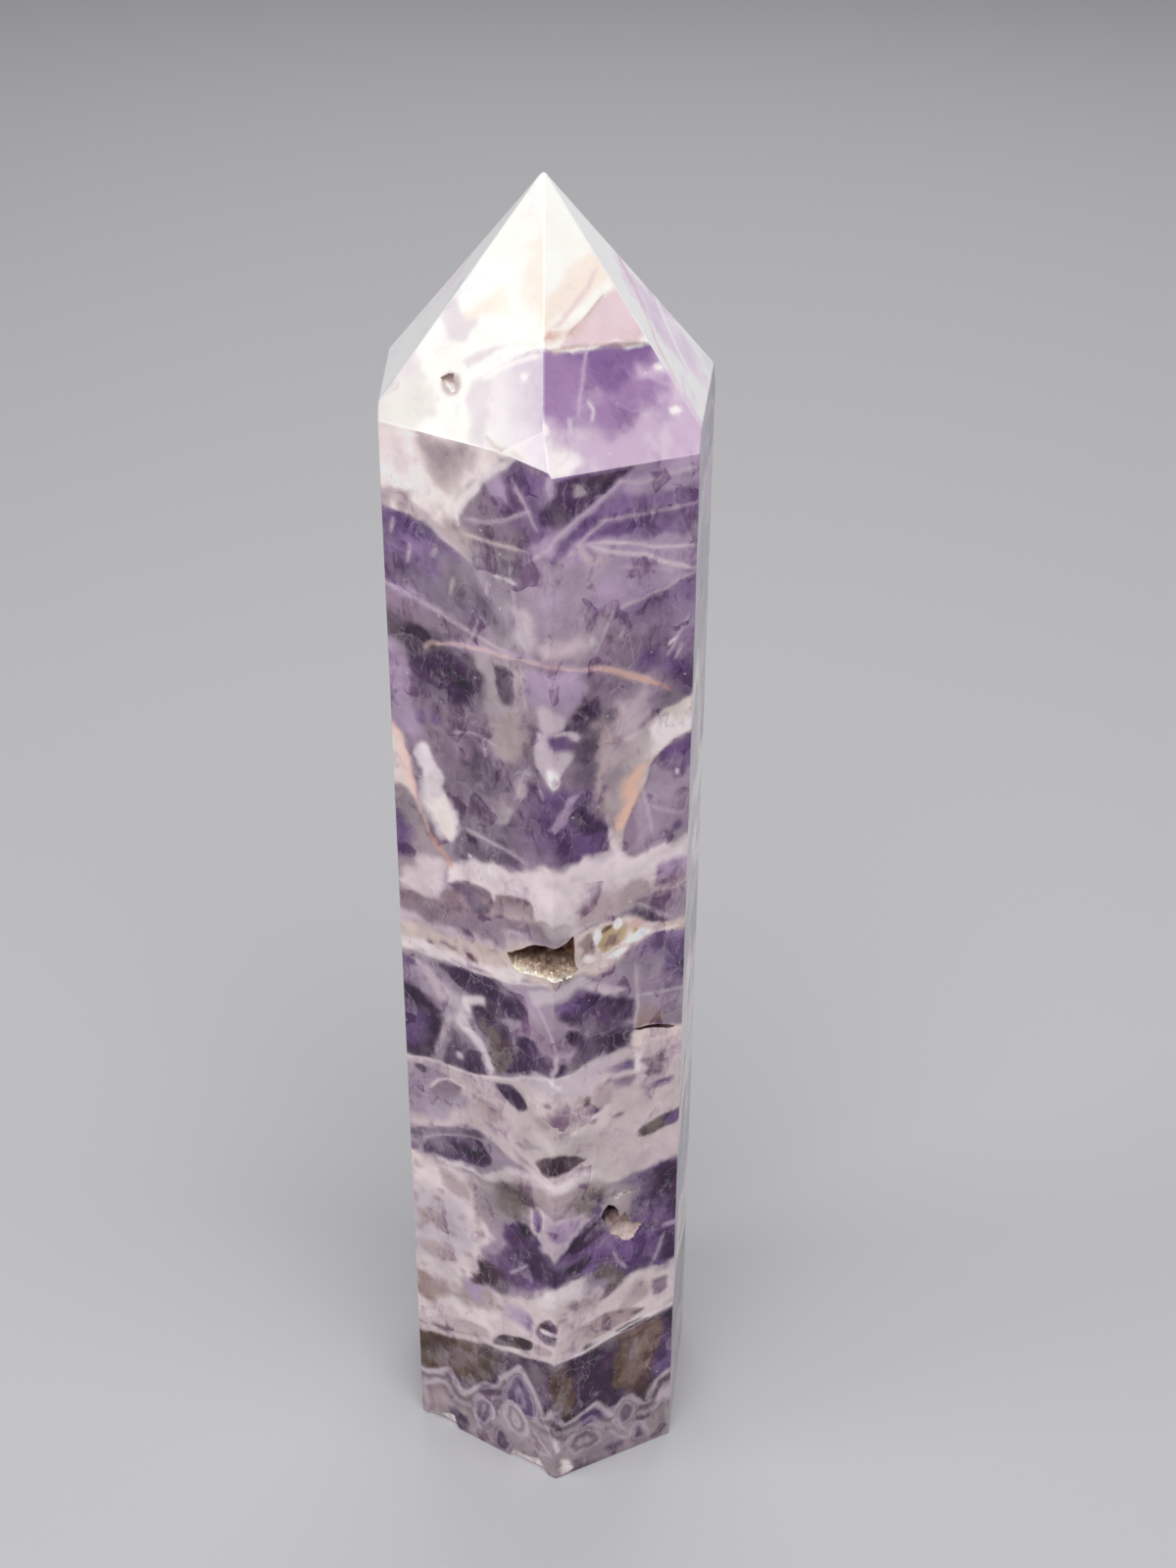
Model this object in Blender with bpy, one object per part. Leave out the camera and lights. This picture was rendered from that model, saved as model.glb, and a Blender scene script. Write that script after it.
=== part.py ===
"""Polished amethyst tower: one stone, ground to a six-sided column with a six-facet point.

It stands on its flat base, +Z up, with the origin in the middle of the base. Lengths are in
millimetres here and are turned into metres where a mesh is made. Directions are degrees from
+X, turning towards +Y, and the stone's front edge faces -Y.
"""
import math
import random

import bmesh
import bpy
from mathutils import Vector

METRES = 0.001

# Driving dimensions. The height is that of the sharp tip, before its edges are polished round.
HEIGHT = 200.0
TIP = Vector((-0.5, -1.6, HEIGHT))
ROUGH_BLOCK_WIDTH = 80.0
EDGE_WIDTH = 0.2
EDGE_STEPS = 2

# Each flat of the column: the direction it faces, and its distance from the axis
COLUMN_FLATS = {
    "left": (177.7, 20.6),
    "front_left": (235.1, 19.1),
    "front_right": (296.1, 20.9),
    "right": (351.4, 20.0),
    "back_right": (55.0, 20.3),
    "back_left": (115.0, 20.4),
}

# Each facet of the point: the direction it faces, and how steeply it falls from the tip
POINT_FACETS = {
    "left": (178.3, 53.2),
    "front_left": (234.3, 58.4),
    "front_right": (297.9, 57.0),
    "right": (350.1, 54.3),
    "back_right": (55.0, 55.5),
    "back_left": (115.0, 55.5),
}

# A small extra facet that takes off the front corner of the shoulder
CORNER_FACET = (238.9, 63.7)
CORNER_FACET_HEIGHT = 170.7

# Hollows are outlines on a polished face. On the column a point is (mm round from the front
# edge, rightwards positive, height), and on a facet (mm sideways from the tip, height).
CRYSTAL_VUG = [
    (-7.6, 98.3), (-6.6, 98.9), (-5.4, 99.6), (-4.2, 100.7), (-3.0, 101.4), (-1.3, 101.9), (0.6, 101.9),
    (2.0, 102.3), (3.0, 103.1), (3.2, 101.2), (3.2, 98.8), (3.7, 97.2), (2.6, 96.3), (0.8, 96.2),
    (-1.2, 96.5), (-3.4, 96.2), (-5.4, 95.8), (-6.7, 96.3),
]
DEEP_HOLE = [
    (7.6, 51.0), (7.9, 52.2), (8.7, 53.1), (9.7, 52.5), (10.4, 51.3), (10.6, 49.8), (9.7, 48.8), (8.4, 49.2),
]
SCOOP = [
    (8.8, 48.2), (9.3, 47.0), (10.4, 46.4), (11.2, 45.2), (12.2, 44.6), (13.1, 45.0), (13.9, 46.3),
    (14.5, 47.4), (13.8, 47.8), (12.7, 47.8), (12.1, 49.2), (11.5, 50.6), (10.7, 49.9), (9.8, 48.7),
]
LEDGE = [
    (9.4, 54.5), (9.7, 53.7), (10.5, 53.6), (11.4, 54.0), (12.5, 53.8), (12.9, 54.6), (12.2, 54.4),
    (11.2, 54.5), (10.3, 54.1),
]
CREVICE = [
    (12.0, 84.1), (13.2, 84.0), (14.7, 83.9), (16.1, 83.6), (17.6, 83.0), (19.3, 82.1), (18.3, 82.0),
    (16.9, 82.6), (15.2, 83.2), (13.3, 83.4),
]
LEFT_CHIP = [
    (-24.6, -1.0), (-24.2, 0.9), (-22.0, 1.5), (-20.4, 2.5), (-19.3, 2.6), (-18.9, 1.0), (-17.3, -1.0),
]
FRONT_CHIP = [
    (-9.2, -1.0), (-8.1, 1.7), (-6.4, 1.9), (-5.0, 2.0), (-3.1, 2.7), (-2.0, 1.2), (-0.7, -1.0),
]
FACET_PIT = [
    (-5.5, 177.3), (-4.6, 177.9), (-3.8, 178.1), (-3.6, 177.5), (-2.8, 177.0), (-2.6, 176.4), (-3.4, 176.1),
    (-4.2, 176.5),
]

# Hollows on the column: outline, depth, and how far its inner walls stray from even
COLUMN_HOLLOWS = {
    "crystal_vug": (CRYSTAL_VUG, 4.2, 0.30),
    "deep_hole": (DEEP_HOLE, 2.8, 0.12),
    "scoop": (SCOOP, 1.1, 0.12),
    "ledge": (LEDGE, 0.6, 0.05),
    "crevice": (CREVICE, 0.8, 0.05),
    "left_chip": (LEFT_CHIP, 0.9, 0.10),
    "front_chip": (FRONT_CHIP, 0.9, 0.10),
}
FACET_PIT_DEPTH = 1.2

# A hollow's cutter narrows inwards, in rings: each ring's share of the depth, and of the
# outline's width there. The first ring and the cap's middle stand clear of the stone.
HOLLOW_RINGS = [(-0.35, 1.07), (0.35, 0.93), (0.75, 0.74), (1.0, 0.40)]
CAP_REACH = 4.0

# Quartz points on the vug's floor: rows of them going in, none touching the next
POINT_PITCH = 1.25
POINT_ROWS = (0.55, 1.75, 2.85)
POINTS_IN_ROW = 8
POINT_PLACE_STRAY = 0.08
POINT_RADIUS = (0.32, 0.46)
POINT_LENGTH = (0.8, 1.7)
POINT_ROOT = 1.0
POINT_SIDES = 6
POINT_LEAN = 0.11
FLOOR_START = -6.1
FLOOR_HEIGHT = 96.6
SEED = 41

STONE_COLOUR = (0.42, 0.34, 0.43, 1.0)
STONE_ROUGHNESS = 0.12


def outward(direction, slope=90.0):
    """Unit normal of a plane that faces `direction` and is tilted `slope` from level."""
    turn = math.radians(direction)
    tilt = math.radians(slope)
    return Vector((math.sin(tilt) * math.cos(turn), math.sin(tilt) * math.sin(turn), math.cos(tilt)))


def column_corner(first, second):
    """Where two neighbouring flats of the column meet, in plan."""
    (turn_a, reach_a), (turn_b, reach_b) = COLUMN_FLATS[first], COLUMN_FLATS[second]
    a, b = outward(turn_a), outward(turn_b)
    cross = a.x * b.y - a.y * b.x
    return Vector(((reach_a * b.y - reach_b * a.y) / cross, (reach_b * a.x - reach_a * b.x) / cross, 0.0))


FRONT_EDGE = column_corner("front_left", "front_right")
LEFT_EDGE = column_corner("left", "front_left")
RIGHT_EDGE = column_corner("front_right", "right")


def on_column(around, height):
    """A point on the two front flats, `around` mm from the front edge."""
    side = RIGHT_EDGE if around > 0 else LEFT_EDGE
    along = (side - FRONT_EDGE).normalized()
    return FRONT_EDGE + along * abs(around) + Vector((0.0, 0.0, height))


def on_facet(name, sideways, height):
    """A point on a facet of the point, `sideways` mm from the tip."""
    direction, slope = POINT_FACETS[name]
    drop = (HEIGHT - height) / math.tan(math.radians(slope))
    ahead = outward(direction)
    across = Vector((-ahead.y, ahead.x, 0.0))
    return TIP + across * sideways + ahead * drop - Vector((0.0, 0.0, HEIGHT - height))


def new_object(name, mesh_data):
    """Puts a millimetre bmesh into the scene as a metre object."""
    bmesh.ops.recalc_face_normals(mesh_data, faces=mesh_data.faces)
    bmesh.ops.scale(mesh_data, vec=(METRES, METRES, METRES), verts=mesh_data.verts)
    mesh = bpy.data.meshes.new(name)
    mesh_data.to_mesh(mesh)
    mesh_data.free()
    item = bpy.data.objects.new(name, mesh)
    bpy.context.collection.objects.link(item)
    return item


def hide_as_guide(item):
    item.hide_render = True
    item.display_type = "WIRE"


def grind(stone, normal, point):
    """Takes off everything on the outer side of a plane and closes the cut."""
    parts = stone.verts[:] + stone.edges[:] + stone.faces[:]
    cut = bmesh.ops.bisect_plane(stone, geom=parts, dist=0.001, plane_co=point, plane_no=normal, clear_outer=True)
    rim = [part for part in cut["geom_cut"] if isinstance(part, bmesh.types.BMEdge)]
    bmesh.ops.edgeloop_fill(stone, edges=rim)


def make_stone():
    """The column and its point, ground from a rough block, with its edges polished round."""
    stone = bmesh.new()
    bmesh.ops.create_cube(stone, size=1.0)
    bmesh.ops.scale(stone, vec=(ROUGH_BLOCK_WIDTH, ROUGH_BLOCK_WIDTH, HEIGHT * 1.1), verts=stone.verts)
    bmesh.ops.translate(stone, vec=(0.0, 0.0, HEIGHT * 0.55), verts=stone.verts)
    for direction, reach in COLUMN_FLATS.values():
        normal = outward(direction)
        grind(stone, normal, normal * reach)
    for direction, slope in POINT_FACETS.values():
        grind(stone, outward(direction, slope), TIP)
    grind(stone, outward(*CORNER_FACET), FRONT_EDGE + Vector((0.0, 0.0, CORNER_FACET_HEIGHT)))
    bmesh.ops.bevel(
        stone, geom=stone.edges[:], offset=EDGE_WIDTH, offset_type="OFFSET", segments=EDGE_STEPS,
        profile=0.5, affect="EDGES", clamp_overlap=True,
    )
    return new_object("amethyst_tower", stone)


def make_hollow(name, rim, inward, depth, stray, chance):
    """A closed cutter: the rim's outline, carried out of the stone and narrowed into it."""
    middle = sum(rim, Vector()) / len(rim)
    hollow = bmesh.new()
    rings = []
    for share, width in HOLLOW_RINGS:
        ring = []
        for point in rim:
            uneven = Vector([chance.uniform(-stray, stray) for _ in range(3)]) * max(0.0, share)
            ring.append(hollow.verts.new(middle + (point - middle) * width + inward * depth * share + uneven))
        rings.append(ring)
    cap = hollow.verts.new(middle - inward * CAP_REACH)
    floor = hollow.verts.new(middle + inward * depth)
    for i in range(len(rim)):
        j = (i + 1) % len(rim)
        for outer, inner in zip(rings, rings[1:]):
            hollow.faces.new((outer[i], outer[j], inner[j], inner[i]))
        hollow.faces.new((rings[0][j], rings[0][i], cap))
        hollow.faces.new((rings[-1][i], rings[-1][j], floor))
    bmesh.ops.triangulate(hollow, faces=hollow.faces[:])
    item = new_object(name, hollow)
    hide_as_guide(item)
    return item


def make_vug_points(inward, chance):
    """The quartz points that stand on the vug's floor, each a six-sided prism with a pyramid."""
    points = bmesh.new()
    places = [(row, step) for row in POINT_ROWS for step in range(POINTS_IN_ROW)]
    for reach, step in places:
        around = FLOOR_START + POINT_PITCH * (step + 0.5 * (reach == POINT_ROWS[1]))
        stray = chance.uniform(-POINT_PLACE_STRAY, POINT_PLACE_STRAY)
        foot = on_column(around, FLOOR_HEIGHT) + inward * (reach + stray)
        tilt = [chance.uniform(-POINT_LEAN, POINT_LEAN) for _ in range(2)]
        axis = Vector((tilt[0], tilt[1], 1.0)).normalized()
        radius = chance.uniform(*POINT_RADIUS)
        length = chance.uniform(*POINT_LENGTH)
        across = axis.orthogonal().normalized()
        beside = axis.cross(across)
        spin = chance.uniform(0.0, math.tau)
        bottom, top = [], []
        for side in range(POINT_SIDES):
            angle = spin + math.tau * side / POINT_SIDES
            offset = (across * math.cos(angle) + beside * math.sin(angle)) * radius
            bottom.append(points.verts.new(foot + offset - axis * POINT_ROOT))
            top.append(points.verts.new(foot + offset + axis * (length - radius)))
        peak = points.verts.new(foot + axis * length)
        points.faces.new(bottom)
        for i in range(POINT_SIDES):
            j = (i + 1) % POINT_SIDES
            points.faces.new((bottom[i], bottom[j], top[j], top[i]))
            points.faces.new((top[i], top[j], peak))
    item = new_object("vug_points", points)
    hide_as_guide(item)
    return item


def subtract(item, cutter):
    cut = item.modifiers.new("cut_" + cutter.name, "BOOLEAN")
    cut.operation = "DIFFERENCE"
    cut.solver = "EXACT"
    cut.object = cutter


def stone_material():
    material = bpy.data.materials.new("amethyst")
    material.use_nodes = True
    shader = material.node_tree.nodes["Principled BSDF"]
    shader.inputs["Base Color"].default_value = STONE_COLOUR
    shader.inputs["Roughness"].default_value = STONE_ROUGHNESS
    shader.inputs["Metallic"].default_value = 0.0
    return material


def main():
    for item in list(bpy.data.objects):
        bpy.data.objects.remove(item, do_unlink=True)
    chance = random.Random(SEED)
    stone = make_stone()
    front = (outward(COLUMN_FLATS["front_left"][0]) + outward(COLUMN_FLATS["front_right"][0])).normalized()
    cutters = []
    for name, (outline, depth, stray) in COLUMN_HOLLOWS.items():
        rim = [on_column(*point) for point in outline]
        if name == "crystal_vug":
            inward = -front
        else:
            inward = -outward(COLUMN_FLATS["front_right" if outline[0][0] > 0 else "front_left"][0])
        cutter = make_hollow(name, rim, inward, depth, stray, chance)
        if name == "crystal_vug":
            points = make_vug_points(inward, chance)
            subtract(cutter, points)
            cutters.append(points)
        subtract(stone, cutter)
        cutters.append(cutter)
    rim = [on_facet("front_left", *point) for point in FACET_PIT]
    pit = make_hollow("facet_pit", rim, -outward(*POINT_FACETS["front_left"]), FACET_PIT_DEPTH, 0.1, chance)
    subtract(stone, pit)
    cutters.append(pit)

    # The origin goes to the middle of the base's outline.
    low_x, high_x = (pick(corner[0] for corner in stone.bound_box) for pick in (min, max))
    low_y, high_y = (pick(corner[1] for corner in stone.bound_box) for pick in (min, max))
    centre = Vector(((low_x + high_x) / 2.0, (low_y + high_y) / 2.0, 0.0))
    for item in [stone] + cutters:
        item.location = -centre
    stone.data.materials.append(stone_material())


main()
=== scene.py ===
"""The polished amethyst tower as it looks: bands, crystals, veins and hollows, in a soft studio.

Lengths are in millimetres, but in metres for the studio, the bumps and the finished meshes. The
column's flats are painted on one chart: mm round from the front edge (rightwards positive) and mm
of height. A point facet's chart is mm sideways from the tip and mm of height.
"""
from collections import namedtuple
import math

import bmesh
import bpy
import numpy as np
from mathutils import Matrix, Vector, geometry, kdtree


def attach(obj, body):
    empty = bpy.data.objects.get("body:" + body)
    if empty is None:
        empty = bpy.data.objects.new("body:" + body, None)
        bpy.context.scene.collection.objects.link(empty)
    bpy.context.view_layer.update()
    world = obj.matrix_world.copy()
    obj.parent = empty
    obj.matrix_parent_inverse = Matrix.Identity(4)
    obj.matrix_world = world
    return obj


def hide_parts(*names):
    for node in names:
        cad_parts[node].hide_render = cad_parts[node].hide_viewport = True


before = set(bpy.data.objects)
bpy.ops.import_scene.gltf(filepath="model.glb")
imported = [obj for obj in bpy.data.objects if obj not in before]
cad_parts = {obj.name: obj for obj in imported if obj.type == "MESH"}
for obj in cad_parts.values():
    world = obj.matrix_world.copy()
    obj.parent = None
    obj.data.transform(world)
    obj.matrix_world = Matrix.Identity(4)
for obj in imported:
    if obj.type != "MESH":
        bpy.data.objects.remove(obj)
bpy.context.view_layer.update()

MM = 1000.0
SEED = 7
QUARTZ_IOR = 1.544

# Directions and slopes of the ground planes, as in the CAD. Their places are taken from its mesh.
FLATS = {
    "left": 177.7, "front_left": 235.1, "front_right": 296.1,
    "right": 351.4, "back_right": 55.0, "back_left": 115.0,
}
FACETS = {
    "left": (178.3, 53.2), "front_left": (234.3, 58.4), "front_right": (297.9, 57.0), "right": (350.1, 54.3),
    "back_right": (55.0, 55.5), "back_left": (115.0, 55.5),
}
NICK = (238.9, 63.7)

# The photo's camera: place in mm, turns in degrees, and focal length in the photo's own pixels
CAMERA_PLACE = (-3.95, -279.57, 291.1)
PITCH, YAW, ROLL = 32.5, 1.8, 0.3
FOCAL_PX = 2450.0
PHOTO_HEIGHT_PX = 1600.0
SENSOR = 36.0

# Spacing of the mesh on each kind of ground face, finer on the two sides that face the camera
STEPS = {"flat": 1.0, "point": 0.60, "nick": 0.45, "base": 1.6}
FRONT_STEPS = {"flat": 0.52, "point": 0.45}
# How uneven the mesh is, and how far it stays from the rim and from outlines, as shares of the spacing
STRAY = 0.18
RIM_GAP = 0.42
OUTLINE_GAP = 0.45
# Spacing along an outline, and how far outlines stay from the rim of a face
OUTLINE_STEP = 0.50
CLEAR = 0.28
# Nearer places than this are joined when a face is laid
JOIN = 0.004

# What counts as one direction, as on a ground plane, as on its rim, and as the strip of a polished edge
ALIKE = 0.99999
ON_PLANE = 0.002
ON_RIM = 0.003
STRIP_REACH = 0.22
# A patch of a ground plane under this many square mm stands alone inside a hollow
SCRAP_AREA = 1.0

# Cuts across the polished edges: their spacing, how near a corner one may pass, and how near it joins one.
# A strip is cut when it is longer than this many spacings, and it is upright when it rises by more than this.
EDGE_STEP = 0.75
CUT_MARGIN = 0.05
CUT_JOIN = 0.03
LONG_STRIP = 1.4
UPRIGHT = 0.4

# Walls of the hollows: spacing, depth from which they are uneven, and the size and height of the unevenness
HOLLOW_STEP = 0.48
WALL_DEPTH = 0.25
HOLLOW_GRAIN = 0.9
HOLLOW_UNEVEN = 0.07

# Crust of tiny crystals in the pocket: seed, number tried, smallest and largest radius and length, how far
# each is sunk into the wall, how far it leans, and how bright it may be
DRUSE_SEED = 12
DRUSE_COUNT = 80
DRUSE_RADIUS = (0.22, 0.68)
DRUSE_LENGTH = (0.6, 1.5)
DRUSE_SINK = 0.12
DRUSE_LEAN = 0.45
DRUSE_BRIGHTNESS = (0.9, 1.6)
# It grows on walls of more than this depth and area. It is thick up to the pocket's colour change less this
# height, and above it only a share is left. Each crystal stays this deep under the polished faces.
DRUSE_WALL_DEPTH = 0.4
DRUSE_WALL_AREA = 0.004
DRUSE_BELOW = 0.4
DRUSE_ABOVE_SHARE = 0.04
DRUSE_DEPTH = 0.10

# A mark that ends more softly than this doesn't need the mesh to follow its outline
CRISP = 0.6
# How strongly veins and inclusions show, and how ragged veins are
LINE_STRENGTH = 0.75
LINE_RAGGED = 0.30
INCLUSION_STRENGTH = 0.85
INCLUSION_CORNERS = 14
# Marks under this size on a side that the photo doesn't show are small: some are left out, others moved
SMALL_MARK = 7.0
LEFT_OUT = 0.4
# How deep the layers of growth reach, and how far apart they lie
RING_REACH = 6.0
RING_SPACING = 2.1
# How much broader the mirrored marks are on the sides that the photo doesn't show
SIDE_STRETCH = 1.6
# Darkest and lightest value that a painted surface may have
DARKEST, LIGHTEST = 0.002, 0.92

# Numbers that scatter a lattice point's place and the seed, and mix the result
SCATTER = (73856093, 19349663, 83492791)
SEED_SCATTER = 2654435761
MIX = 1274126177

# Colours as they look on the lit stone, 0 to 255. They hold the light that fell on it: painted shade
# darkens the column towards its foot, and a painted highlight adds to the white of the point's milky quartz.
COLOURS = {
    "body": (142, 127, 140), "white": (254, 250, 243), "snow": (246, 238, 237), "frost": (229, 220, 223),
    "veil": (211, 197, 213), "fern": (230, 226, 219), "sand": (249, 234, 221), "milk": (222, 211, 211),
    "cream": (219, 206, 203), "warm": (206, 190, 186), "cloud": (205, 192, 194), "chalk": (198, 184, 184),
    "pearl": (202, 191, 195), "haze": (179, 164, 173), "pale": (179, 166, 173), "band": (186, 171, 173),
    "dusk": (164, 147, 150), "mist": (158, 144, 150), "moss": (154, 139, 141), "fog": (149, 133, 148),
    "lilac": (157, 137, 160), "blush": (178, 161, 168), "mauve": (130, 111, 127), "grey": (120, 104, 119),
    "smoke": (96, 82, 97), "beige": (186, 169, 164), "tan": (144, 122, 116), "brown": (108, 87, 80),
    "olive": (106, 93, 92), "umber": (88, 71, 61), "taupe": (124, 105, 108), "violet": (98, 76, 112),
    "purple": (122, 99, 134), "deep": (72, 54, 78), "plum": (74, 56, 66), "ink": (60, 40, 64),
    "soot": (58, 44, 50), "agate": (140, 126, 132), "rosy": (146, 126, 126), "rust": (184, 142, 130),
    "rusty": (196, 167, 160), "peach": (216, 203, 196), "ember": (206, 170, 152), "gold": (178, 156, 126),
    "blossom": (228, 204, 209), "coral": (224, 188, 178), "orchid": (164, 132, 173), "iris": (136, 104, 152),
    "mallow": (206, 182, 206), "roof_shade": (112, 78, 58), "ochre": (188, 144, 92),
    "floor": (232, 216, 198), "shade": (62, 50, 58),
}

# Tints and colours inside the stone, in linear light
CLOUD_TINT = (0.46, 0.33, 0.50, 1.0)
CLOUD_PALE = (0.34, 0.27, 0.35, 1.0)
SHEET_PALE = (0.66, 0.60, 0.68, 1.0)
CRACK_PALE = (0.70, 0.65, 0.70, 1.0)
INNER_TINT = (0.56, 0.48, 0.56, 1.0)
RING_PALE = (0.50, 0.43, 0.48, 1.0)
RING_TINT = (0.45, 0.38, 0.44, 1.0)
SPECK = (0.85, 0.82, 0.84, 1.0)

# The studio, in metres and watts. A light's row has its name, its place, the height on the stone's axis that
# it is aimed at, its width and depth, and its power.
FLOOR_HALF = 3.0
FLOOR_COLOUR = (0.52, 0.52, 0.54, 1.0)
SKY_COLOUR = (0.98, 0.97, 1.0, 1.0)
SKY_STRENGTH = 0.22
LIGHTS = [
    ("overhead", (0.02, -0.36, 0.86), 0.12, 0.7, 0.6, 6.0),
    ("left_fill", (-0.80, -0.20, 0.30), 0.10, 0.3, 0.5, 2.4),
    ("right_fill", (0.78, -0.36, 0.26), 0.10, 0.3, 0.5, 1.2),
    ("back_rim", (0.10, 0.75, 0.60), 0.10, 0.8, 0.4, 2.0),
]

# In this studio a face looks like its own colour times a gain, plus a veil of reflected light
GAIN = {"flat": 0.71, "point": 1.02, "nick": 0.90, "base": 0.70, "left_point": 0.56, "right_point": 0.75}
VEIL = {"flat": 0.023, "point": 0.007, "nick": 0.012, "base": 0.023, "left_point": 0.07, "right_point": 0.036}

# Hollows: sheet, place on its chart, reach, colour below that place, colour above it, and over what rise it
# changes. The first is the pocket. Where the colour above is darker, it is painted shade on the upper walls
# under the rim, and the second hollow's shade is painted shadow in its deep hole.
HOLLOWS = [
    ("front_left", -1.8, 97.1, 8.0, "floor", "roof_shade", 2.2),
    ("front_right", 9.2, 51.0, 2.6, "shade", "shade", 2.0),
    ("front_right", 12.0, 47.3, 3.9, "beige", "tan", 3.5),
    ("front_right", 11.2, 54.1, 2.0, "milk", "taupe", 1.0),
    ("front_right", 15.6, 83.0, 4.2, "brown", "umber", 1.5),
    ("front_left", -21.8, 0.6, 3.4, "chalk", "cream", 2.0),
    ("front_left", -4.6, 0.6, 4.8, "chalk", "cream", 2.0),
    ("front_left", 1.6, 100.6, 2.4, "ochre", "ochre", 3.0),
    ("front_left_point", -4.0, 177.0, 2.6, "cream", "tan", 1.6),
]
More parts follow.
